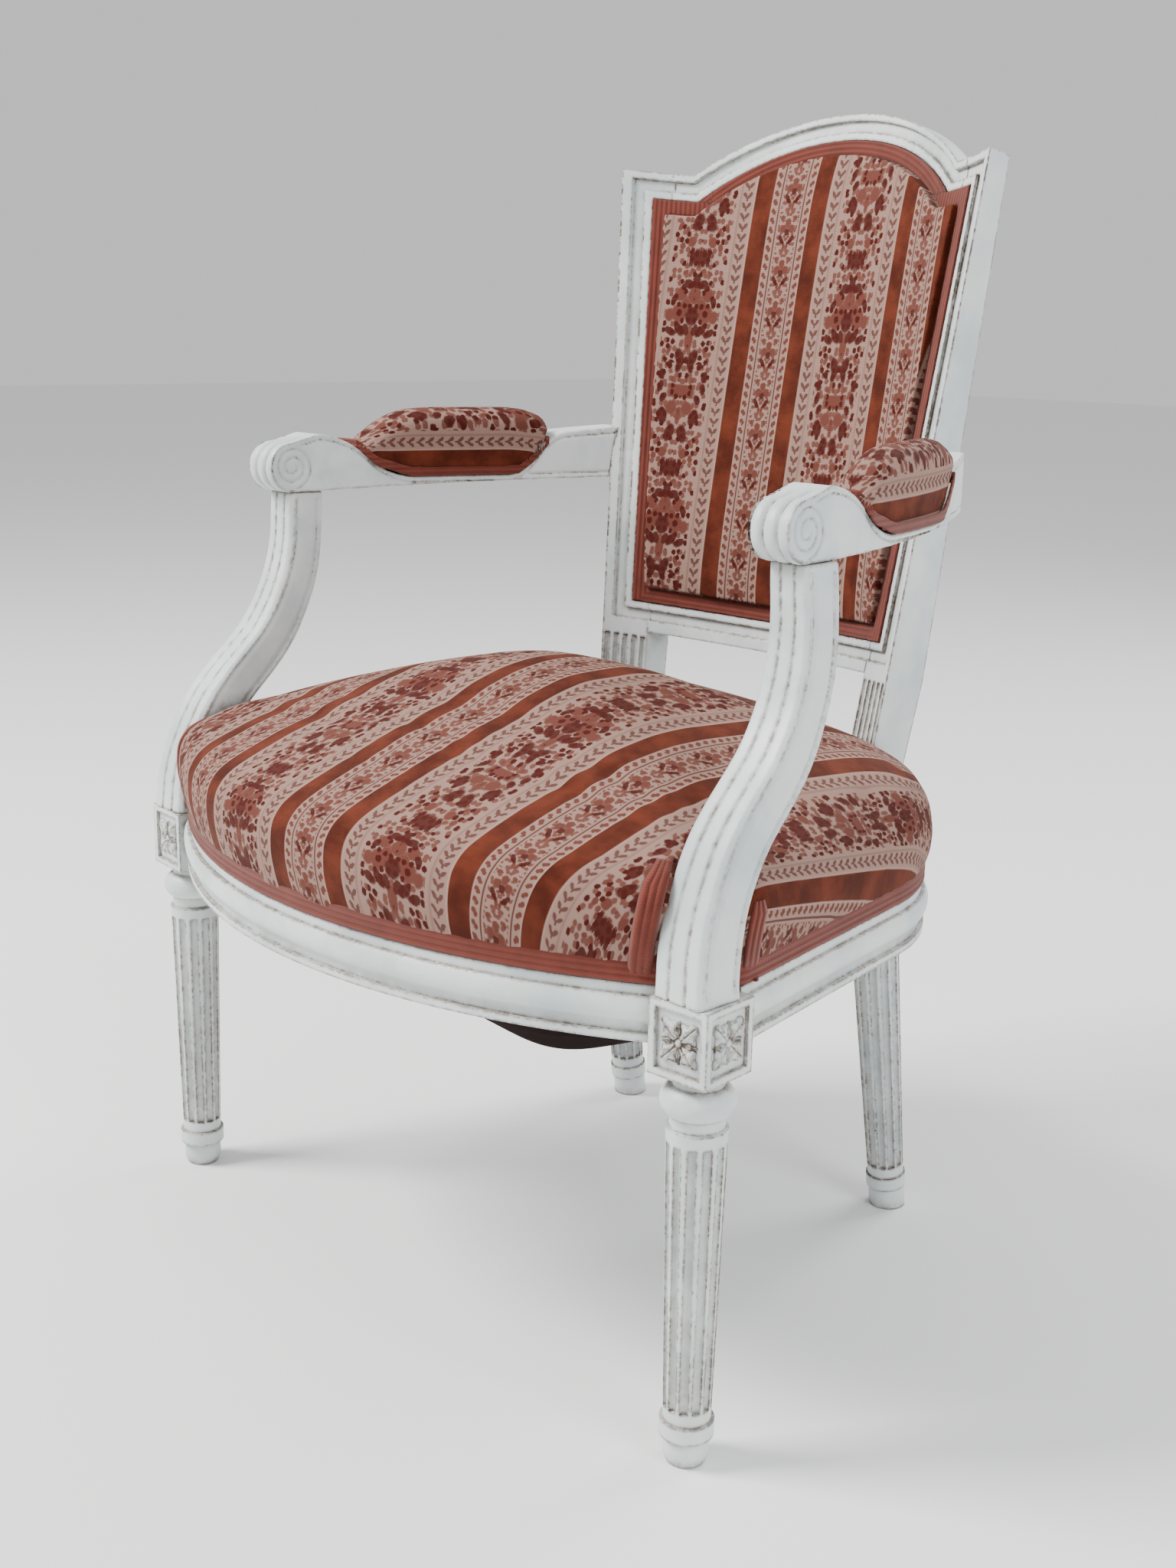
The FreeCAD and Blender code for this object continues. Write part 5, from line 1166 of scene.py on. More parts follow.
@dataclass
class UprightBraid:
    """Short upright lengths of braid beside the arm supports, laid on the cushion."""

    cushion: bpy.types.Object
    support_x: float = 0.2865
    support_y: float = -0.004 + SHIFT
    support_z: float = 0.314
    support_splay: float = 0.071
    support_bend: float = 0.148
    beside_x: float = 0.0200
    beside_y: float = 0.0188
    narrowing: float = 0.016
    low: float = 0.3185
    width: float = 0.0135
    outer_share: float = 0.8
    front_height: float = 0.074
    outer_height: float = 0.052
    tip_from: float = 0.85
    tip_cut: float = 0.4
    cast_from: float = 0.4
    cast_missed: float = 0.42
    cast_step: float = 0.02
    stand: float = 0.0019
    cords: int = 3
    cord_height: float = 0.0004
    edge_from: float = 0.42
    edge_fade: float = 0.08
    edge_sink: float = 0.0016
    thickness: float = 0.0012

    def start(self, side: Side, facing: Facing, across: float, share: float) -> Vector:
        """Place beside the support from which a point of the braid is cast at the cushion.

        Args:
            side: the chair's side.
            facing: the way that the braid faces.
            across: share of the braid's width, from 0 beside the support to 1.
            share: share of its height.

        Returns:
            The place, well outside the cushion.
        """
        in_front = facing is Facing.FRONT
        end = -1.0 if in_front else 1.0
        height = self.front_height if in_front else self.outer_height
        width = self.width if in_front else self.width * self.outer_share
        rise = self.low + share * height - self.support_z
        lean = math.asin(max(rise, 0.0) / self.support_bend)
        x = self.support_x - self.support_splay * rise + end * (self.beside_x - self.narrowing * rise)
        y = self.support_y + self.support_bend * (1 - math.cos(lean)) + end * self.beside_y / math.cos(lean)
        offset = across * width * (1.0 - self.tip_cut * max(share - self.tip_from, 0.0) / (1 - self.tip_from))
        beside = Vector((side.value * math.sqrt(0.5), math.sqrt(0.5), 0.0)) * end
        corner = Vector((side.value * x, y, self.support_z + rise))
        return corner + beside * offset - self.way(side) * self.cast_from

    def way(self, side: Side) -> Vector:
        """Direction from a support towards the cushion, in plan."""
        return Vector((-side.value * math.sqrt(0.5), math.sqrt(0.5), 0.0))

    def braid(self, side: Side, facing: Facing, finish: bpy.types.Material) -> None:
        """Build one length.

        Args:
            side: the chair's side.
            facing: FRONT for the length inside the support, or OUTER for the one behind it.
            finish: the braid's finish.
        """
        piece = new_shape("upright_braid_" + side.word + "_" + facing.value, bpy.ops.mesh.primitive_grid_add,
                          x_subdivisions=18, y_subdivisions=70, size=1.0)
        grid = points_of(piece)
        height = self.front_height if facing is Facing.FRONT else self.outer_height
        way = self.way(side)
        places = []
        last = None
        for across, upward, _ in grid:
            start = self.start(side, facing, across + 0.5, upward + 0.5)
            hit, place, _, _ = self.cushion.ray_cast(start, way)
            # A ray that misses or lands far from the last one's place keeps the last one's length
            if hit and (last is None or abs((place - start).length - last) < self.cast_step):
                last = (place - start).length
            ridges = math.cos((across + 0.5) * math.tau * self.cords) * self.cord_height
            tuck = max(abs(across) - self.edge_from, 0.0) / self.edge_fade
            stand = self.stand - ridges - self.edge_sink * tuck
            places.append(start + way * ((last if last else self.cast_missed) - stand))
        move_points(piece, np.array([list(place) for place in places]))
        lay_cloth(piece, grid[:, 1] * height, grid[:, 0] * self.width)
        apply_modifier(piece, "SOLIDIFY", thickness=self.thickness, offset=-1.0)
        smooth(piece, ALL_ROUND)
        finish_piece(piece, finish, ())

    def build(self, finish: bpy.types.Material) -> None:
        """Build all four lengths.

        Args:
            finish: the braid's finish.
        """
        for side in Side:
            for facing in Facing:
                self.braid(side, facing, finish)


@dataclass
class DustCloth:
    """Thin cloth that hangs under the seat and sags into a lobe."""

    margin: float = 0.001
    directions: int = 181
    sag_share: float = 0.35
    lobe_place: tuple = (0.150, 0.0105 + SHIFT)
    lobe_size: tuple = (0.062, 0.050)
    lobe_depth: float = 0.021
    lobe_share: float = 0.08
    ripple: float = 0.0012
    ripple_x: tuple = (62, -17)
    ripple_y: tuple = (23, 41)
    edge_on: float = 0.05
    far: float = 9.0

    def reach(self, outline: np.ndarray, angle: np.ndarray) -> np.ndarray:
        """How far the cloth reaches in each direction from its middle.

        The least distance to a line that touches the outline from outside.

        Args:
            outline: points of the outline, measured from the middle.
            angle: the directions.

        Returns:
            The reach in each direction.
        """
        turns = np.linspace(-math.pi, math.pi, self.directions)
        normals = np.stack([np.cos(turns), np.sin(turns)], axis=1)
        touch = (outline @ normals.T).max(axis=0) - self.margin
        facing = np.cos(angle[:, None] - turns[None, :])
        length = touch[None, :] / np.maximum(facing, self.edge_on)
        return np.where(facing > self.edge_on, length, self.far).min(axis=1)

    def build(self, cloth: bpy.types.Material) -> None:
        """Build the cloth, one sagging sheet.

        Args:
            cloth: its finish.
        """
        outline = points_of(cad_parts["dust_cover"])
        middle = (outline[:, :2].max(axis=0) + outline[:, :2].min(axis=0)) / 2
        piece = new_shape("dust_cloth", bpy.ops.mesh.primitive_grid_add, x_subdivisions=96, y_subdivisions=80,
                          size=2.0)
        grid = points_of(piece)
        share = np.maximum(np.abs(grid[:, 0]), np.abs(grid[:, 1]))
        angle = np.arctan2(grid[:, 1], grid[:, 0])
        radius = self.reach(outline[:, :2] - middle, angle) * share
        x = middle[0] + radius * np.cos(angle)
        y = middle[1] + radius * np.sin(angle)
        ripple = np.sin(x * self.ripple_x[0] + y * self.ripple_y[0])
        ripple = ripple * np.sin(y * self.ripple_y[1] + x * self.ripple_x[1])
        sag = ramp(1 - share, self.sag_share)
        sag = sag * sag * (3 - 2 * sag)
        lobe = np.exp(-((x - self.lobe_place[0]) / self.lobe_size[0]) ** 2
                      - ((y - self.lobe_place[1]) / self.lobe_size[1]) ** 2)
        lobe *= self.lobe_depth * ramp(1 - share, self.lobe_share)
        top = outline[:, 2].max()
        depth = top - outline[:, 2].min()
        z = top - self.margin - depth * sag - lobe + ripple * sag * self.ripple
        move_points(piece, np.stack([x, y, z], axis=1))
        smooth(piece, ALL_ROUND)
        finish_piece(piece, cloth, ("dust_cover",))


@dataclass
class Back:
    """Upholstered back: crowned front panel, outside cover and two rings of braid."""

    joint_y: float = 0.379 + SHIFT
    joint_z: float = 0.440
    rake: float = 9.5
    radius: float = 0.295
    voxel: float = 0.0015
    kept_share: float = 0.5
    braid_voxel: float = 0.0010
    foot: float = 0.025
    foot_half: float = 0.157
    flare: float = 0.07938
    stile_inset: float = 0.022
    crown_radius: float = 0.186
    crown_middle: float = 0.228
    crown_from: float = 0.363
    straight_from: float = 0.12

    def local(self, piece: bpy.types.Object) -> np.ndarray:
        """A piece's points in the back's own leaning frame.

        Args:
            piece: the piece.

        Returns:
            For each point, its place across, out of the back and up its slope.
        """
        places = points_of(piece)
        angle = math.radians(self.rake)
        y = places[:, 1] - self.joint_y
        z = places[:, 2] - self.joint_z
        return np.stack([places[:, 0], y * math.cos(angle) - z * math.sin(angle),
                         y * math.sin(angle) + z * math.cos(angle)], axis=1)

    def arc(self, local: np.ndarray) -> np.ndarray:
        """Distance of each point from the back's middle line, along its curve."""
        return np.arctan2(local[:, 0], local[:, 1] + self.radius) * self.radius

    def cover(self, node: str, name: str) -> bpy.types.Object:
        """Start a thin cover with a mesh fine enough to close it, thinned out again, and lay its cloth.

        Args:
            node: the node that it starts from.
            name: the piece's name.

        Returns:
            The cover.
        """
        piece = merged_copy(node, name)
        even_mesh(piece, self.voxel)
        ease(piece, 4)
        apply_modifier(piece, "DECIMATE", ratio=self.kept_share)
        local = self.local(piece)
        lay_cloth(piece, self.arc(local), local[:, 2])
        smooth(piece, ALL_ROUND)
        return piece

    def edge_distance(self, arc: np.ndarray, height: np.ndarray) -> np.ndarray:
        """Rough distance from the panel's outline, for the braid's cords.

        Args:
            arc: distance of each point from the middle line, along the curve.
            height: its height up the slope.

        Returns:
            The distance of each point.
        """
        above = height - self.foot
        side = self.foot_half + self.flare * above - self.stile_inset - np.abs(arc)
        crown = self.crown_radius - np.hypot(arc, height - self.crown_middle)
        top = np.where(height > self.crown_from, crown, 1.0)
        return np.minimum(np.minimum(side, above), top)

    def braid(self, run: Run, finish: bpy.types.Material) -> None:
        """Build a ring of braid.

        Args:
            run: on the front or on the rear.
            finish: the braid's finish.
        """
        node = "back_gimp_" + run.value
        piece = merged_copy(node, "back_braid_" + run.value)
        even_mesh(piece, self.braid_voxel)
        local = self.local(piece)
        arc = self.arc(local)
        along = np.where(np.abs(arc) > self.straight_from, local[:, 2], arc)
        lay_cloth(piece, along, self.edge_distance(arc, local[:, 2]))
        smooth(piece, ALL_ROUND)
        finish_piece(piece, finish, (node,))

    def build(self, velvet: bpy.types.Material, braid: bpy.types.Material) -> None:
        """Build all of the back's soft pieces.

        Args:
            velvet: the covers' cloth.
            braid: the braid's finish.
        """
        panel = self.cover("back_cover", "back_cushion")
        finish_piece(panel, velvet, ("back_cover", "back_stuffing"))
        outside = self.cover("back_outside_cover", "back_outside_cloth")
        finish_piece(outside, velvet, ("back_outside_cover",))
        self.braid(Run.FRONT, braid)
        self.braid(Run.REAR, braid)


@dataclass(frozen=True)
class ArmPlan:
    """Plan of an arm: its middle line is an arc."""

    x: float = -0.3578
    y: float = 0.0274 + SHIFT
    radius: float = 0.628

    def at(self, y: np.ndarray | float) -> np.ndarray | float:
        """Distance of the middle line from the chair's middle."""
        return self.x + np.sqrt(self.radius ** 2 - (y - self.y) ** 2)


@dataclass
class ArmPads:
    """Padded rests on both arms, each edged with braid."""

    plan: ArmPlan
    voxel: float = 0.0022
    braid_voxel: float = 0.0008
    front: float = 0.105 + SHIFT
    rest: float = 0.205 + SHIFT
    setback: float = 0.024
    nose: float = 0.024
    nose_length: float = 0.55
    nose_rounding: float = 0.55
    cloth: float = 0.0023
    rear_growth: float = 0.0045
    rear_length: float = 0.03
    shoulder: float = 0.616
    spread: float = 1.25
    read_ahead: float = 0.02
    read_behind: float = 0.13
    read_from: float = 1.0
    usual_top: float = 0.6

    def top_of_arm(self, side: Side) -> tuple[np.ndarray, np.ndarray]:
        """Height of the arm's top along its length.

        Args:
            side: the chair's side.

        Returns:
            Places along Y and the heights there.
        """
        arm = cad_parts["arm_" + side.word]
        along = np.linspace(self.front - self.read_ahead, self.rest + self.read_behind, 160)
        heights = []
        for y in along:
            above = Vector((side.value * self.plan.at(y), y, self.read_from))
            hit, place, _, _ = arm.ray_cast(above, Vector((0.0, 0.0, -1.0)))
            missed = heights[-1] if heights else self.usual_top
            heights.append(place.z if hit else missed)
        return along, np.array(heights)

    def set_back(self, piece: bpy.types.Object, profile: tuple) -> None:
        """Draw the front end of a piece back along the arm's top, and round it in plan.

        Args:
            piece: the piece.
            profile: places along Y and the heights of the arm's top there.
        """
        places = points_of(piece)
        y = places[:, 1]
        moved = y + self.setback * ramp(self.rest - y, self.rest - self.front)
        places[:, 2] += np.interp(moved, *profile) - np.interp(y, *profile)
        first = moved.min() + self.nose
        ahead = ramp(first - moved, self.nose)
        drawn = np.where(moved < first, first - (first - moved) * self.nose_length, moved)
        places[:, 2] += np.interp(drawn, *profile) - np.interp(moved, *profile)
        sign = np.sign(places[:, 0])
        rounding = np.sqrt(1.0 - self.nose_rounding * ahead ** 2)
        lateral = (np.abs(places[:, 0]) - self.plan.at(y)) * rounding
        # The arm's plan is an arc, so a piece that moves along it also moves across
        places[:, 0] = sign * (self.plan.at(drawn) + lateral)
        places[:, 1] = drawn
        move_points(piece, places)

    def pad(self, side: Side, profile: tuple, velvet: bpy.types.Material) -> None:
        """Build one pad.

        Args:
            side: the chair's side.
            profile: places along Y and the heights of the arm's top there.
            velvet: its cloth.
        """
        piece = merged_copy("arm_stuffing_" + side.word, "arm_pad_" + side.word)
        even_mesh(piece, self.voxel)
        normals = normals_of(piece)
        places = points_of(piece)
        over = np.clip(normals[:, 2] + 0.5, 0, 1)[:, None]
        places = places + normals * self.cloth * over
        rear = places[:, 1].max()
        places[:, 1] += self.rear_growth * ramp(places[:, 1] - rear + self.rear_length, self.rear_length)
        move_points(piece, places)
        ease(piece, 4)
        divide(piece)
        self.set_back(piece, profile)
        places = points_of(piece)
        across = places[:, 0] * side.value - self.plan.at(places[:, 1])
        drop = np.maximum(self.shoulder - places[:, 2], 0)
        lay_cloth(piece, (across + np.sign(across) * drop) * self.spread, places[:, 1])
        smooth(piece, ALL_ROUND)
        finish_piece(piece, velvet, ("arm_cover_" + side.word, "arm_stuffing_" + side.word))

    def edging(self, side: Side, profile: tuple, braid: bpy.types.Material) -> None:
        """Build the braid round one pad.

        Args:
            side: the chair's side.
            profile: places along Y and the heights of the arm's top there.
            braid: the braid's finish.
        """
        node = "arm_gimp_" + side.word
        piece = merged_copy(node, "arm_braid_" + side.word)
        even_mesh(piece, self.braid_voxel)
        self.set_back(piece, profile)
        places = points_of(piece)
        lay_cloth(piece, places[:, 1], places[:, 2])
        smooth(piece, ALL_ROUND)
        finish_piece(piece, braid, (node,))

    def build(self, velvet: bpy.types.Material, braid: bpy.types.Material) -> None:
        """Build both pads and their braid.

        Args:
            velvet: the pads' cloth.
            braid: the braid's finish.
        """
        for side in Side:
            profile = self.top_of_arm(side)
            self.pad(side, profile, velvet)
            self.edging(side, profile, braid)


@dataclass
class Rosettes:
    """Carved leaf rosettes in the square panels over the front legs."""

    block_x: float = 0.287
    block_y: float = SHIFT
    block_z: float = 0.2895
    face: float = 0.0200
    turn: float = 5.0
    leaf_length: float = 0.0180
    leaf_width: float = 0.0128
    leaf_height: float = 0.0038
    bud_length: float = 0.0132
    bud_width: float = 0.0046
    bud_height: float = 0.0020
    boss_radius: float = 0.0030
    boss_flatness: float = 0.9
    root: float = 0.0012
    blunt_tips: tuple = (0.02, 0.98)
    fullness: float = 0.55
    least_width: float = 0.15
    waists: int = 5
    waist_depth: float = 0.28
    flat_top: float = 0.3
    sharp_edge: float = 50.0

    def leaf(self, name: str, length: float, width: float, height: float, angle: float) -> bpy.types.Object:
        """Model one lobed leaf, its root at the rosette's middle.

        Args:
            name: the leaf's name.
            length: how far it reaches.
            width: its width.
            height: how far it stands up.
            angle: its direction in the panel, in degrees.

        Returns:
            The leaf, lying in the XZ plane with its face towards -Y.
        """
        leaf = new_shape(name, bpy.ops.mesh.primitive_uv_sphere_add, segments=40, ring_count=24, radius=1.0)
        places = points_of(leaf)
        share = (places[:, 2] + 1) / 2
        narrowing = np.sin(np.clip(share, *self.blunt_tips) * math.pi) ** self.fullness
        narrowing = np.clip(narrowing, self.least_width, 1)
        waist = 1.0 + self.waist_depth * np.sin(share * math.pi * self.waists) * (share > 0.2)
        x = places[:, 0] * width / 2 * narrowing * waist
        lobes = 0.45 + 0.55 * np.abs(np.sin(1.5 * math.pi * np.abs(places[:, 0])))
        y = np.minimum(places[:, 1], self.flat_top) * height * (0.75 + 0.5 * share) * lobes
        z = share * length + self.root
        spin = math.radians(angle)
        across = x * math.cos(spin) + z * math.sin(spin)
        upward = z * math.cos(spin) - x * math.sin(spin)
        move_points(leaf, np.stack([across, y, upward], axis=1))
        return leaf

    def model(self) -> bpy.types.Object:
        """Model one rosette of four leaves, four buds and a boss.

        Returns:
            The rosette, in the XZ plane with its face towards -Y.
        """
        parts = []
        for step in range(4):
            angle = 45 + 90 * step
            parts.append(self.leaf("leaf", self.leaf_length, self.leaf_width, self.leaf_height, angle))
        for step in range(4):
            parts.append(self.leaf("bud", self.bud_length, self.bud_width, self.bud_height, 90 * step))
        boss = new_shape("boss", bpy.ops.mesh.primitive_uv_sphere_add, segments=20, ring_count=10,
                         radius=self.boss_radius)
        places = points_of(boss)
        places[:, 1] *= self.boss_flatness
        move_points(boss, places)
        parts.append(boss)
        for part in parts:
            part.select_set(True)
        bpy.context.view_layer.objects.active = parts[0]
        bpy.ops.object.join()
        return parts[0]

    def build(self, paint: bpy.types.Material) -> None:
        """Place a rosette in each panel of both front legs.

        Args:
            paint: the frame's finish.
        """
        pattern = self.model()
        for side in Side:
            for facing, angle in ((Facing.FRONT, 0.0), (Facing.OUTER, 90.0)):
                name = "rosette_" + side.word + "_" + facing.value
                piece = bpy.data.objects.new(name, pattern.data.copy())
                bpy.context.scene.collection.objects.link(piece)
                block = Matrix.Translation((side.value * self.block_x, self.block_y, self.block_z))
                block = block @ Matrix.Rotation(math.radians(side.value * (self.turn + angle)), 4, "Z")
                piece.data.transform(block @ Matrix.Translation((0, -self.face, 0)))
                smooth(piece, self.sharp_edge)
                finish_piece(piece, paint, ())
        bpy.data.objects.remove(pattern)


def groove(offset: np.ndarray, half_width: float) -> np.ndarray:
    """A rounded groove: 1 on its line, falling to 0 beside it."""
    return np.exp(-(offset / half_width) ** 2)


def outline(along: np.ndarray, height: np.ndarray, highest: bool) -> np.ndarray:
    """Top or bottom edge of a piece at each of its points.

    Args:
        along: places along the piece.
        height: heights of the points.
        highest: whether the top edge is wanted.

    Returns:
        The edge's height beside each point.
    """
    marks = np.linspace(along.min(), along.max(), EDGE_MARKS)
    spot = np.clip(np.searchsorted(marks, along), 0, len(marks) - 1)
    edge = np.full(len(marks), -9.0 if highest else 9.0)
    (np.maximum if highest else np.minimum).at(edge, spot, height)
    edge[0] = edge[1]
    return np.interp(along, marks, edge)


@dataclass
class CarvedArms:
    """Arms with their carving: a spiral with an eye on each scroll, ridges over it and panel lines."""

    plan: ArmPlan
    voxel: float = 0.0010
    half_width: float = 0.016
    scroll_y: float = 0.082 + SHIFT
    scroll_z: float = 0.586
    spiral_pitch: float = 0.0064
    spiral_reach: float = 0.0180
    spiral_half: float = 0.0010
    eye: float = 0.0028
    line_inset: float = 0.0046
    line_half: float = 0.0009
    line_depth: float = 0.0013
    low_line_from: float = 0.283 + SHIFT
    end_line: float = 0.287 + SHIFT
    valley_share: float = 0.36
    valley_half: float = 0.0017
    valley_depth: float = 0.0024
    shoulder_from: float = 0.0118
    shoulder_depth: float = 0.0016
    side_from: float = 0.6
    side_fade: float = 0.3
    front_under: float = 0.55
    front_fade: float = 0.2
    ridges_end: float = 0.020
    ridges_fade: float = 0.012
    lines_start: float = 0.004
    lines_fade: float = 0.006
    sharp_edge: float = 60.0

    def spiral(self, back: np.ndarray, up: np.ndarray) -> np.ndarray:
        """Groove of the scroll's spiral.

        Args:
            back: each point's distance behind the scroll's middle.
            up: its distance above that middle.

        Returns:
            Share of the groove's depth at each point.
        """
        radius = np.hypot(back, up)
        turn = np.arctan2(up, -back) / math.tau
        lap = radius / self.spiral_pitch - turn
        spiral = groove((lap - np.round(lap)) * self.spiral_pitch, self.spiral_half)
        return spiral * (ramp(self.spiral_reach - radius, 0.001) * ramp(radius - self.eye, 0.0008))

    def lines(self, places: np.ndarray, back: np.ndarray) -> np.ndarray:
        """Grooves of the panel lines on the arm's side.

        Args:
            places: the arm's points.
            back: each point's distance behind the scroll's middle.

        Returns:
            Share of the groove's depth at each point.
        """
        below_top = outline(places[:, 1], places[:, 2], True) - places[:, 2]
        above_bottom = places[:, 2] - outline(places[:, 1], places[:, 2], False)
        line = groove(below_top - self.line_inset, self.line_half)
        line *= ramp(back - self.lines_start, self.lines_fade)
        low_line = groove(above_bottom - self.line_inset, self.line_half)
        low_line *= ramp(places[:, 1] - self.low_line_from, 0.004)
        end_line = groove(places[:, 1] - self.end_line, self.line_half)
        end_line *= (below_top > self.line_inset) & (above_bottom > self.line_inset)
        return np.maximum.reduce([line, low_line, end_line])

    def ridges(self, lateral: np.ndarray) -> np.ndarray:
        """Depth of the valleys and shoulders that leave ridges over the scroll.

        Args:
            lateral: each point's distance from the arm's middle line.

        Returns:
            The depth at each point.
        """
        valleys = groove(np.abs(lateral) - self.half_width * self.valley_share, self.valley_half)
        shoulders = ramp(np.abs(lateral) - self.shoulder_from, 0.004) ** 2
        return self.valley_depth * valleys + self.shoulder_depth * shoulders

    def build(self, side: Side, paint: bpy.types.Material) -> None:
        """Carve one arm.

        Args:
            side: the chair's side.
            paint: the frame's finish.
        """
        piece = merged_copy("arm_" + side.word, "carved_arm_" + side.word)
        even_mesh(piece, self.voxel)
        places = points_of(piece)
        normals = normals_of(piece)
        away = np.stack([places[:, 0] * side.value - self.plan.x, places[:, 1] - self.plan.y], axis=1)
        distance = np.linalg.norm(away, axis=1)
        sideways = (normals[:, 0] * side.value * away[:, 0] + normals[:, 1] * away[:, 1]) / distance
        on_side = ramp(np.abs(sideways) - self.side_from, self.side_fade)
        back = places[:, 1] - self.scroll_y
        spiral = self.spiral(back, places[:, 2] - self.scroll_z)
        depth = self.line_depth * on_side * np.maximum(spiral, self.lines(places, back))
        wrapped = ramp(self.front_under - np.abs(sideways), self.front_fade)
        wrapped *= ramp(self.ridges_end - back, self.ridges_fade)
        depth = depth + wrapped * self.ridges(distance - self.plan.radius)
        move_points(piece, places - normals * depth[:, None])
        smooth(piece, self.sharp_edge)
        finish_piece(piece, paint, ("arm_" + side.word,))


@dataclass
class CarvedSupports:
    """Curved arm supports with a moulding carved round their side faces."""

    voxel: float = 0.00085
    low: float = 0.317
    high: float = 0.563
    end_fade: float = 0.003
    groove_inset: float = 0.0062
    groove_half: float = 0.0011
    groove_depth: float = 0.0016
    step_inset: float = 0.0082
    step_half: float = 0.0010
    step_depth: float = 0.0008
    side_from: float = 0.75
    side_fade: float = 0.2
    sharp_edge: float = 60.0

    def build(self, side: Side, paint: bpy.types.Material) -> None:
        """Carve one support.

        Args:
            side: the chair's side.
            paint: the frame's finish.
        """
        piece = merged_copy("arm_support_" + side.word, "carved_support_" + side.word)
        even_mesh(piece, self.voxel)
        places = points_of(piece)
        normals = normals_of(piece)
        height = places[:, 2]
        rear = outline(height, places[:, 1], True)
        front = outline(height, places[:, 1], False)
        marks = np.linspace(height.min(), height.max(), 60)
        middle = np.interp(marks, np.sort(height), ((rear + front) / 2)[np.argsort(height)])
        lean = np.interp(height, marks, np.gradient(middle, marks))
        # Distances to the edges are measured square to the leaning support
        inset = np.minimum(rear - places[:, 1], places[:, 1] - front) * (1.0 / np.sqrt(1.0 + lean ** 2))
        on_side = ramp(np.abs(normals[:, 0]) - self.side_from, self.side_fade)
        ends = ramp(height - self.low, self.end_fade) * ramp(self.high - height, self.end_fade)
        depth = (self.groove_depth * groove(inset - self.groove_inset, self.groove_half)
                 + self.step_depth * groove(inset - self.step_inset, self.step_half))
        move_points(piece, places - normals * (depth * on_side * ends)[:, None])
        smooth(piece, self.sharp_edge)
        finish_piece(piece, paint, ("arm_support_" + side.word,))


@dataclass
class Inside:
    """The plain frame and what lies inside it, carried over from the construction."""

    painted: tuple = ("front_leg_right", "front_leg_left", "rear_post_right", "rear_post_left", "front_rail",
                      "side_rail_right", "side_rail_left", "rear_rail", "crest_rail", "lower_back_rail",
                      "seat_frame_pegs", "back_frame_pegs")
    bare: tuple = ("corner_brace_front_right", "corner_brace_front_left", "corner_brace_rear_right",
                   "corner_brace_rear_left", "arm_dowels")
    steel: tuple = ("brace_screws", "seat_springs")
    webbing: tuple = ("seat_webbing", "back_webbing")
    canvas: tuple = ("spring_canvas", "back_canvas")

    def dress(self, nodes: tuple, material: bpy.types.Material) -> None:
        """Give carried-over nodes their finish.

        Args:
            nodes: the nodes' names.
            material: the finish.
        """
        for node in nodes:
            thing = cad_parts[node]
            thing.data.materials.clear()
            thing.data.materials.append(material)

    def build(self, paint: bpy.types.Material) -> None:
        """Dress all carried-over nodes.

        Args:
            paint: the frame's finish.
        """
        self.dress(self.painted, paint)
        self.dress(self.bare, BareBeech().make("bare_beech"))
        self.dress(self.steel, DullSteel().make("dull_steel"))
        jute = PlainCloth(srgb(176, 146, 104), srgb(120, 94, 62), 0.0024)
        self.dress(self.webbing, jute.make("jute_webbing"))
        linen = PlainCloth(srgb(196, 180, 150), srgb(150, 132, 104))
        self.dress(self.canvas, linen.make("linen_canvas"))


@dataclass(frozen=True)
class Lamp:
    """Soft square lamp: where it hangs, what it faces, its side in metres, its watts and its colour."""

    name: str
    place: tuple
    target: tuple
    size: float
    power: float
    colour: tuple

    def hang(self) -> None:
        """Hang the lamp."""
        data = bpy.data.lights.new(self.name, "AREA")
        data.shape = "SQUARE"
        data.size = self.size
        data.energy = self.power
        data.color = self.colour
        lamp = bpy.data.objects.new(self.name, data)
        bpy.context.scene.collection.objects.link(lamp)
        lamp.location = self.place
        way = Vector(self.target) - Vector(self.place)
        lamp.rotation_euler = way.to_track_quat("-Z", "Y").to_euler()


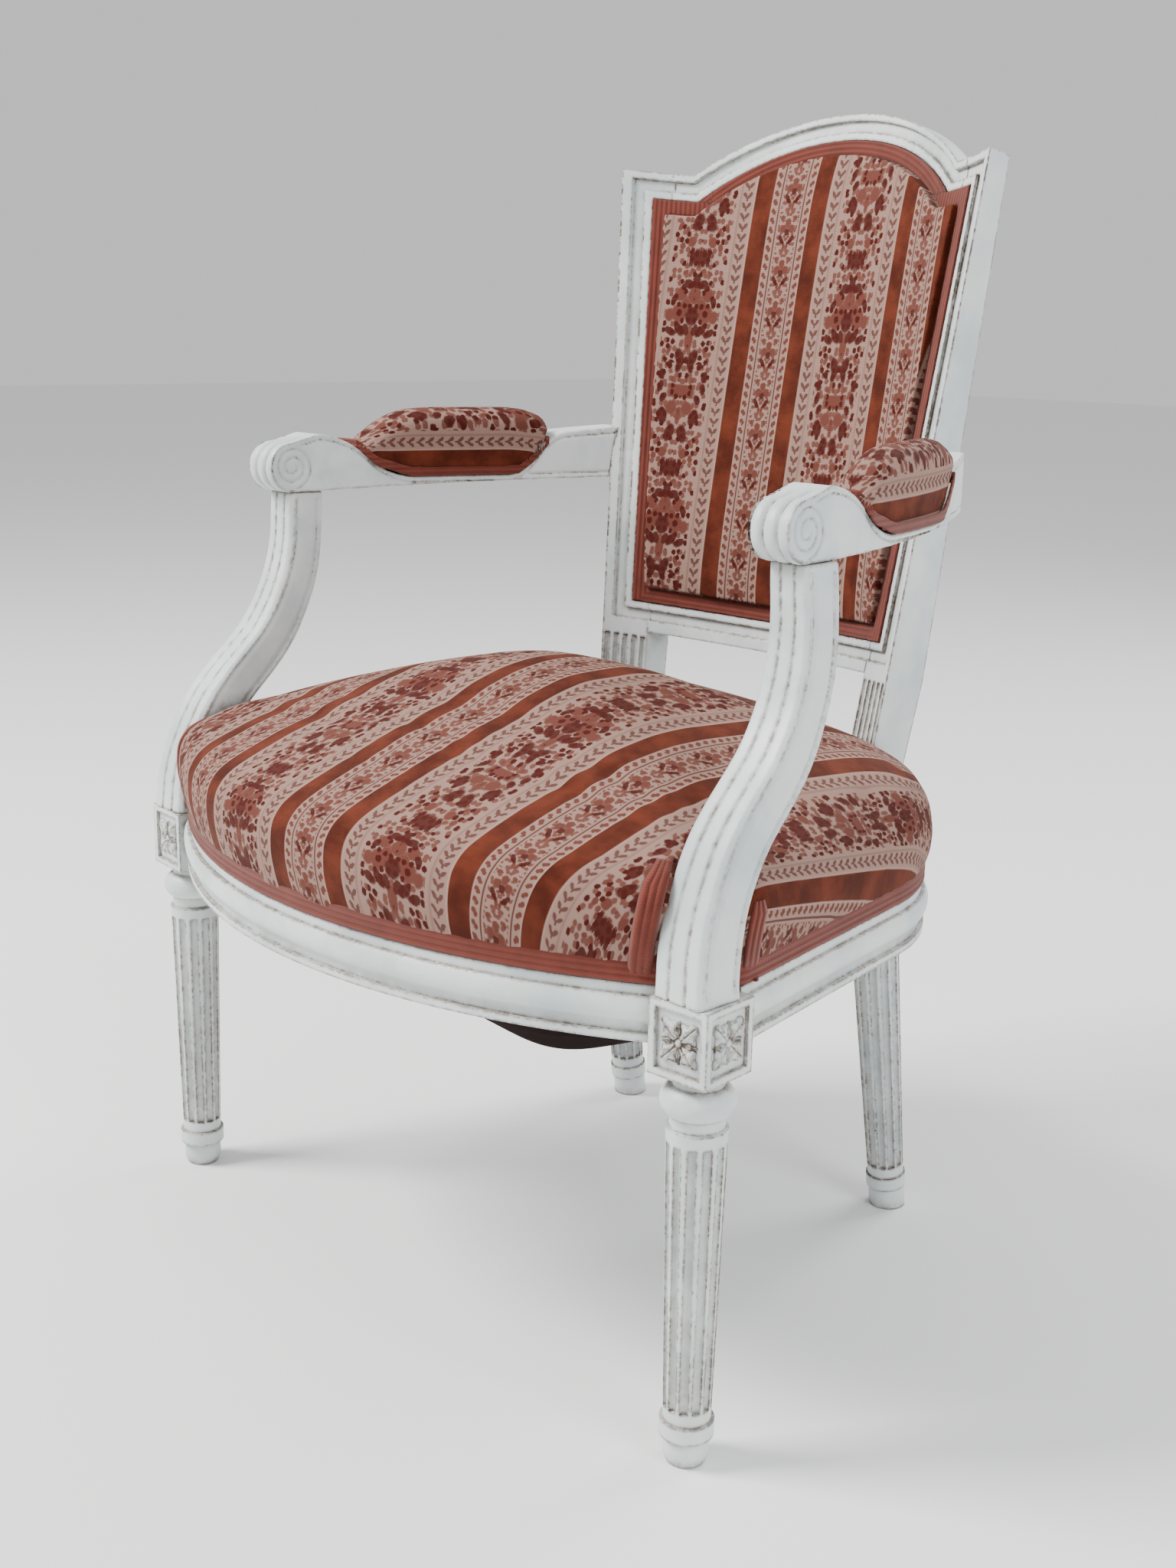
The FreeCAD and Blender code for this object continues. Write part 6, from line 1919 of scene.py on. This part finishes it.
@dataclass
class Studio:
    """Pale floor, soft light and the camera at the photograph's angle."""

    azimuth: float = 46.5
    elevation: float = 14.2
    roll: float = 1.14
    place: tuple = (0.99556, -0.77014 + SHIFT, 0.70786)
    lens: float = 42.43
    sensor: float = 36.0
    nearest: float = 0.05
    floor_size: float = 30.0
    floor_gap: float = 0.0005
    air: tuple = (1.0, 1.0, 1.0, 1.0)
    air_strength: float = 0.72
    lamps: tuple = (Lamp("key_lamp", (-1.5, -1.9, 2.9), (0, 0, 0.45), 1.2, 215.0, (1.0, 0.99, 0.97)),
                    Lamp("side_lamp", (2.8, -0.2, 2.0), (0, 0, 0.4), 1.2, 46.0, (0.93, 0.97, 1.0)),
                    Lamp("rear_lamp", (0.4, 2.6, 2.4), (0, 0, 0.5), 1.6, 60.0, (1.0, 1.0, 1.0)))

    def camera(self) -> None:
        """Set up the camera."""
        azimuth = math.radians(self.azimuth)
        elevation = math.radians(self.elevation)
        roll = math.radians(self.roll)
        back = Vector((math.sin(azimuth) * math.cos(elevation), -math.cos(azimuth) * math.cos(elevation),
                       math.sin(elevation)))
        right = Vector((math.cos(azimuth), math.sin(azimuth), 0.0))
        up = back.cross(right)
        across = right * math.cos(roll) + up * math.sin(roll)
        upward = up * math.cos(roll) - right * math.sin(roll)
        data = bpy.data.cameras.new("camera")
        data.lens = self.lens
        data.sensor_width = self.sensor
        data.clip_start = self.nearest
        camera = bpy.data.objects.new("camera", data)
        bpy.context.scene.collection.objects.link(camera)
        turn = Matrix((across, upward, back)).transposed().to_4x4()
        camera.matrix_world = Matrix.Translation(self.place) @ turn
        bpy.context.scene.camera = camera

    def floor(self) -> None:
        """Lay the pale floor."""
        floor = new_shape("studio_floor", bpy.ops.mesh.primitive_plane_add, size=self.floor_size,
                          location=(0, 0, -self.floor_gap))
        graph = Graph("pale_floor")
        graph.surface({"Base Color": (0.9, 0.9, 0.9, 1.0), "Roughness": 0.9})
        floor.data.materials.append(graph.material)

    def build(self) -> None:
        """Set up the whole studio."""
        self.camera()
        self.floor()
        world = bpy.data.worlds.new("studio_air")
        world.use_nodes = True
        background = world.node_tree.nodes["Background"]
        background.inputs["Color"].default_value = self.air
        background.inputs["Strength"].default_value = self.air_strength
        bpy.context.scene.world = world
        for lamp in self.lamps:
            lamp.hang()


def main() -> None:
    """Build the chair's looks."""
    logging.basicConfig(level=logging.INFO, format="%(message)s")
    Studio().build()
    paint = WornPaint().make("worn_paint")
    braid = Braid().make("terracotta_braid")
    Inside().build(paint)
    cushion = Seat(SeatPlan()).build(StripedVelvet(offset=(-0.022, 0.0745)).make("seat_velvet"), braid)
    UprightBraid(cushion).build(braid)
    DustCloth().build(PlainCloth(srgb(32, 15, 12), srgb(17, 8, 7)).make("dust_cloth"))
    Back().build(StripedVelvet(offset=(0.037, -0.141)).make("back_velvet"), braid)
    arm_plan = ArmPlan()
    ArmPads(arm_plan).build(StripedVelvet(offset=(0.082, 0.030)).make("arm_velvet"), braid)
    for side in Side:
        CarvedArms(arm_plan).build(side, paint)
        CarvedSupports().build(side, paint)
    Rosettes().build(paint)


if __name__ == "__main__":
    main()
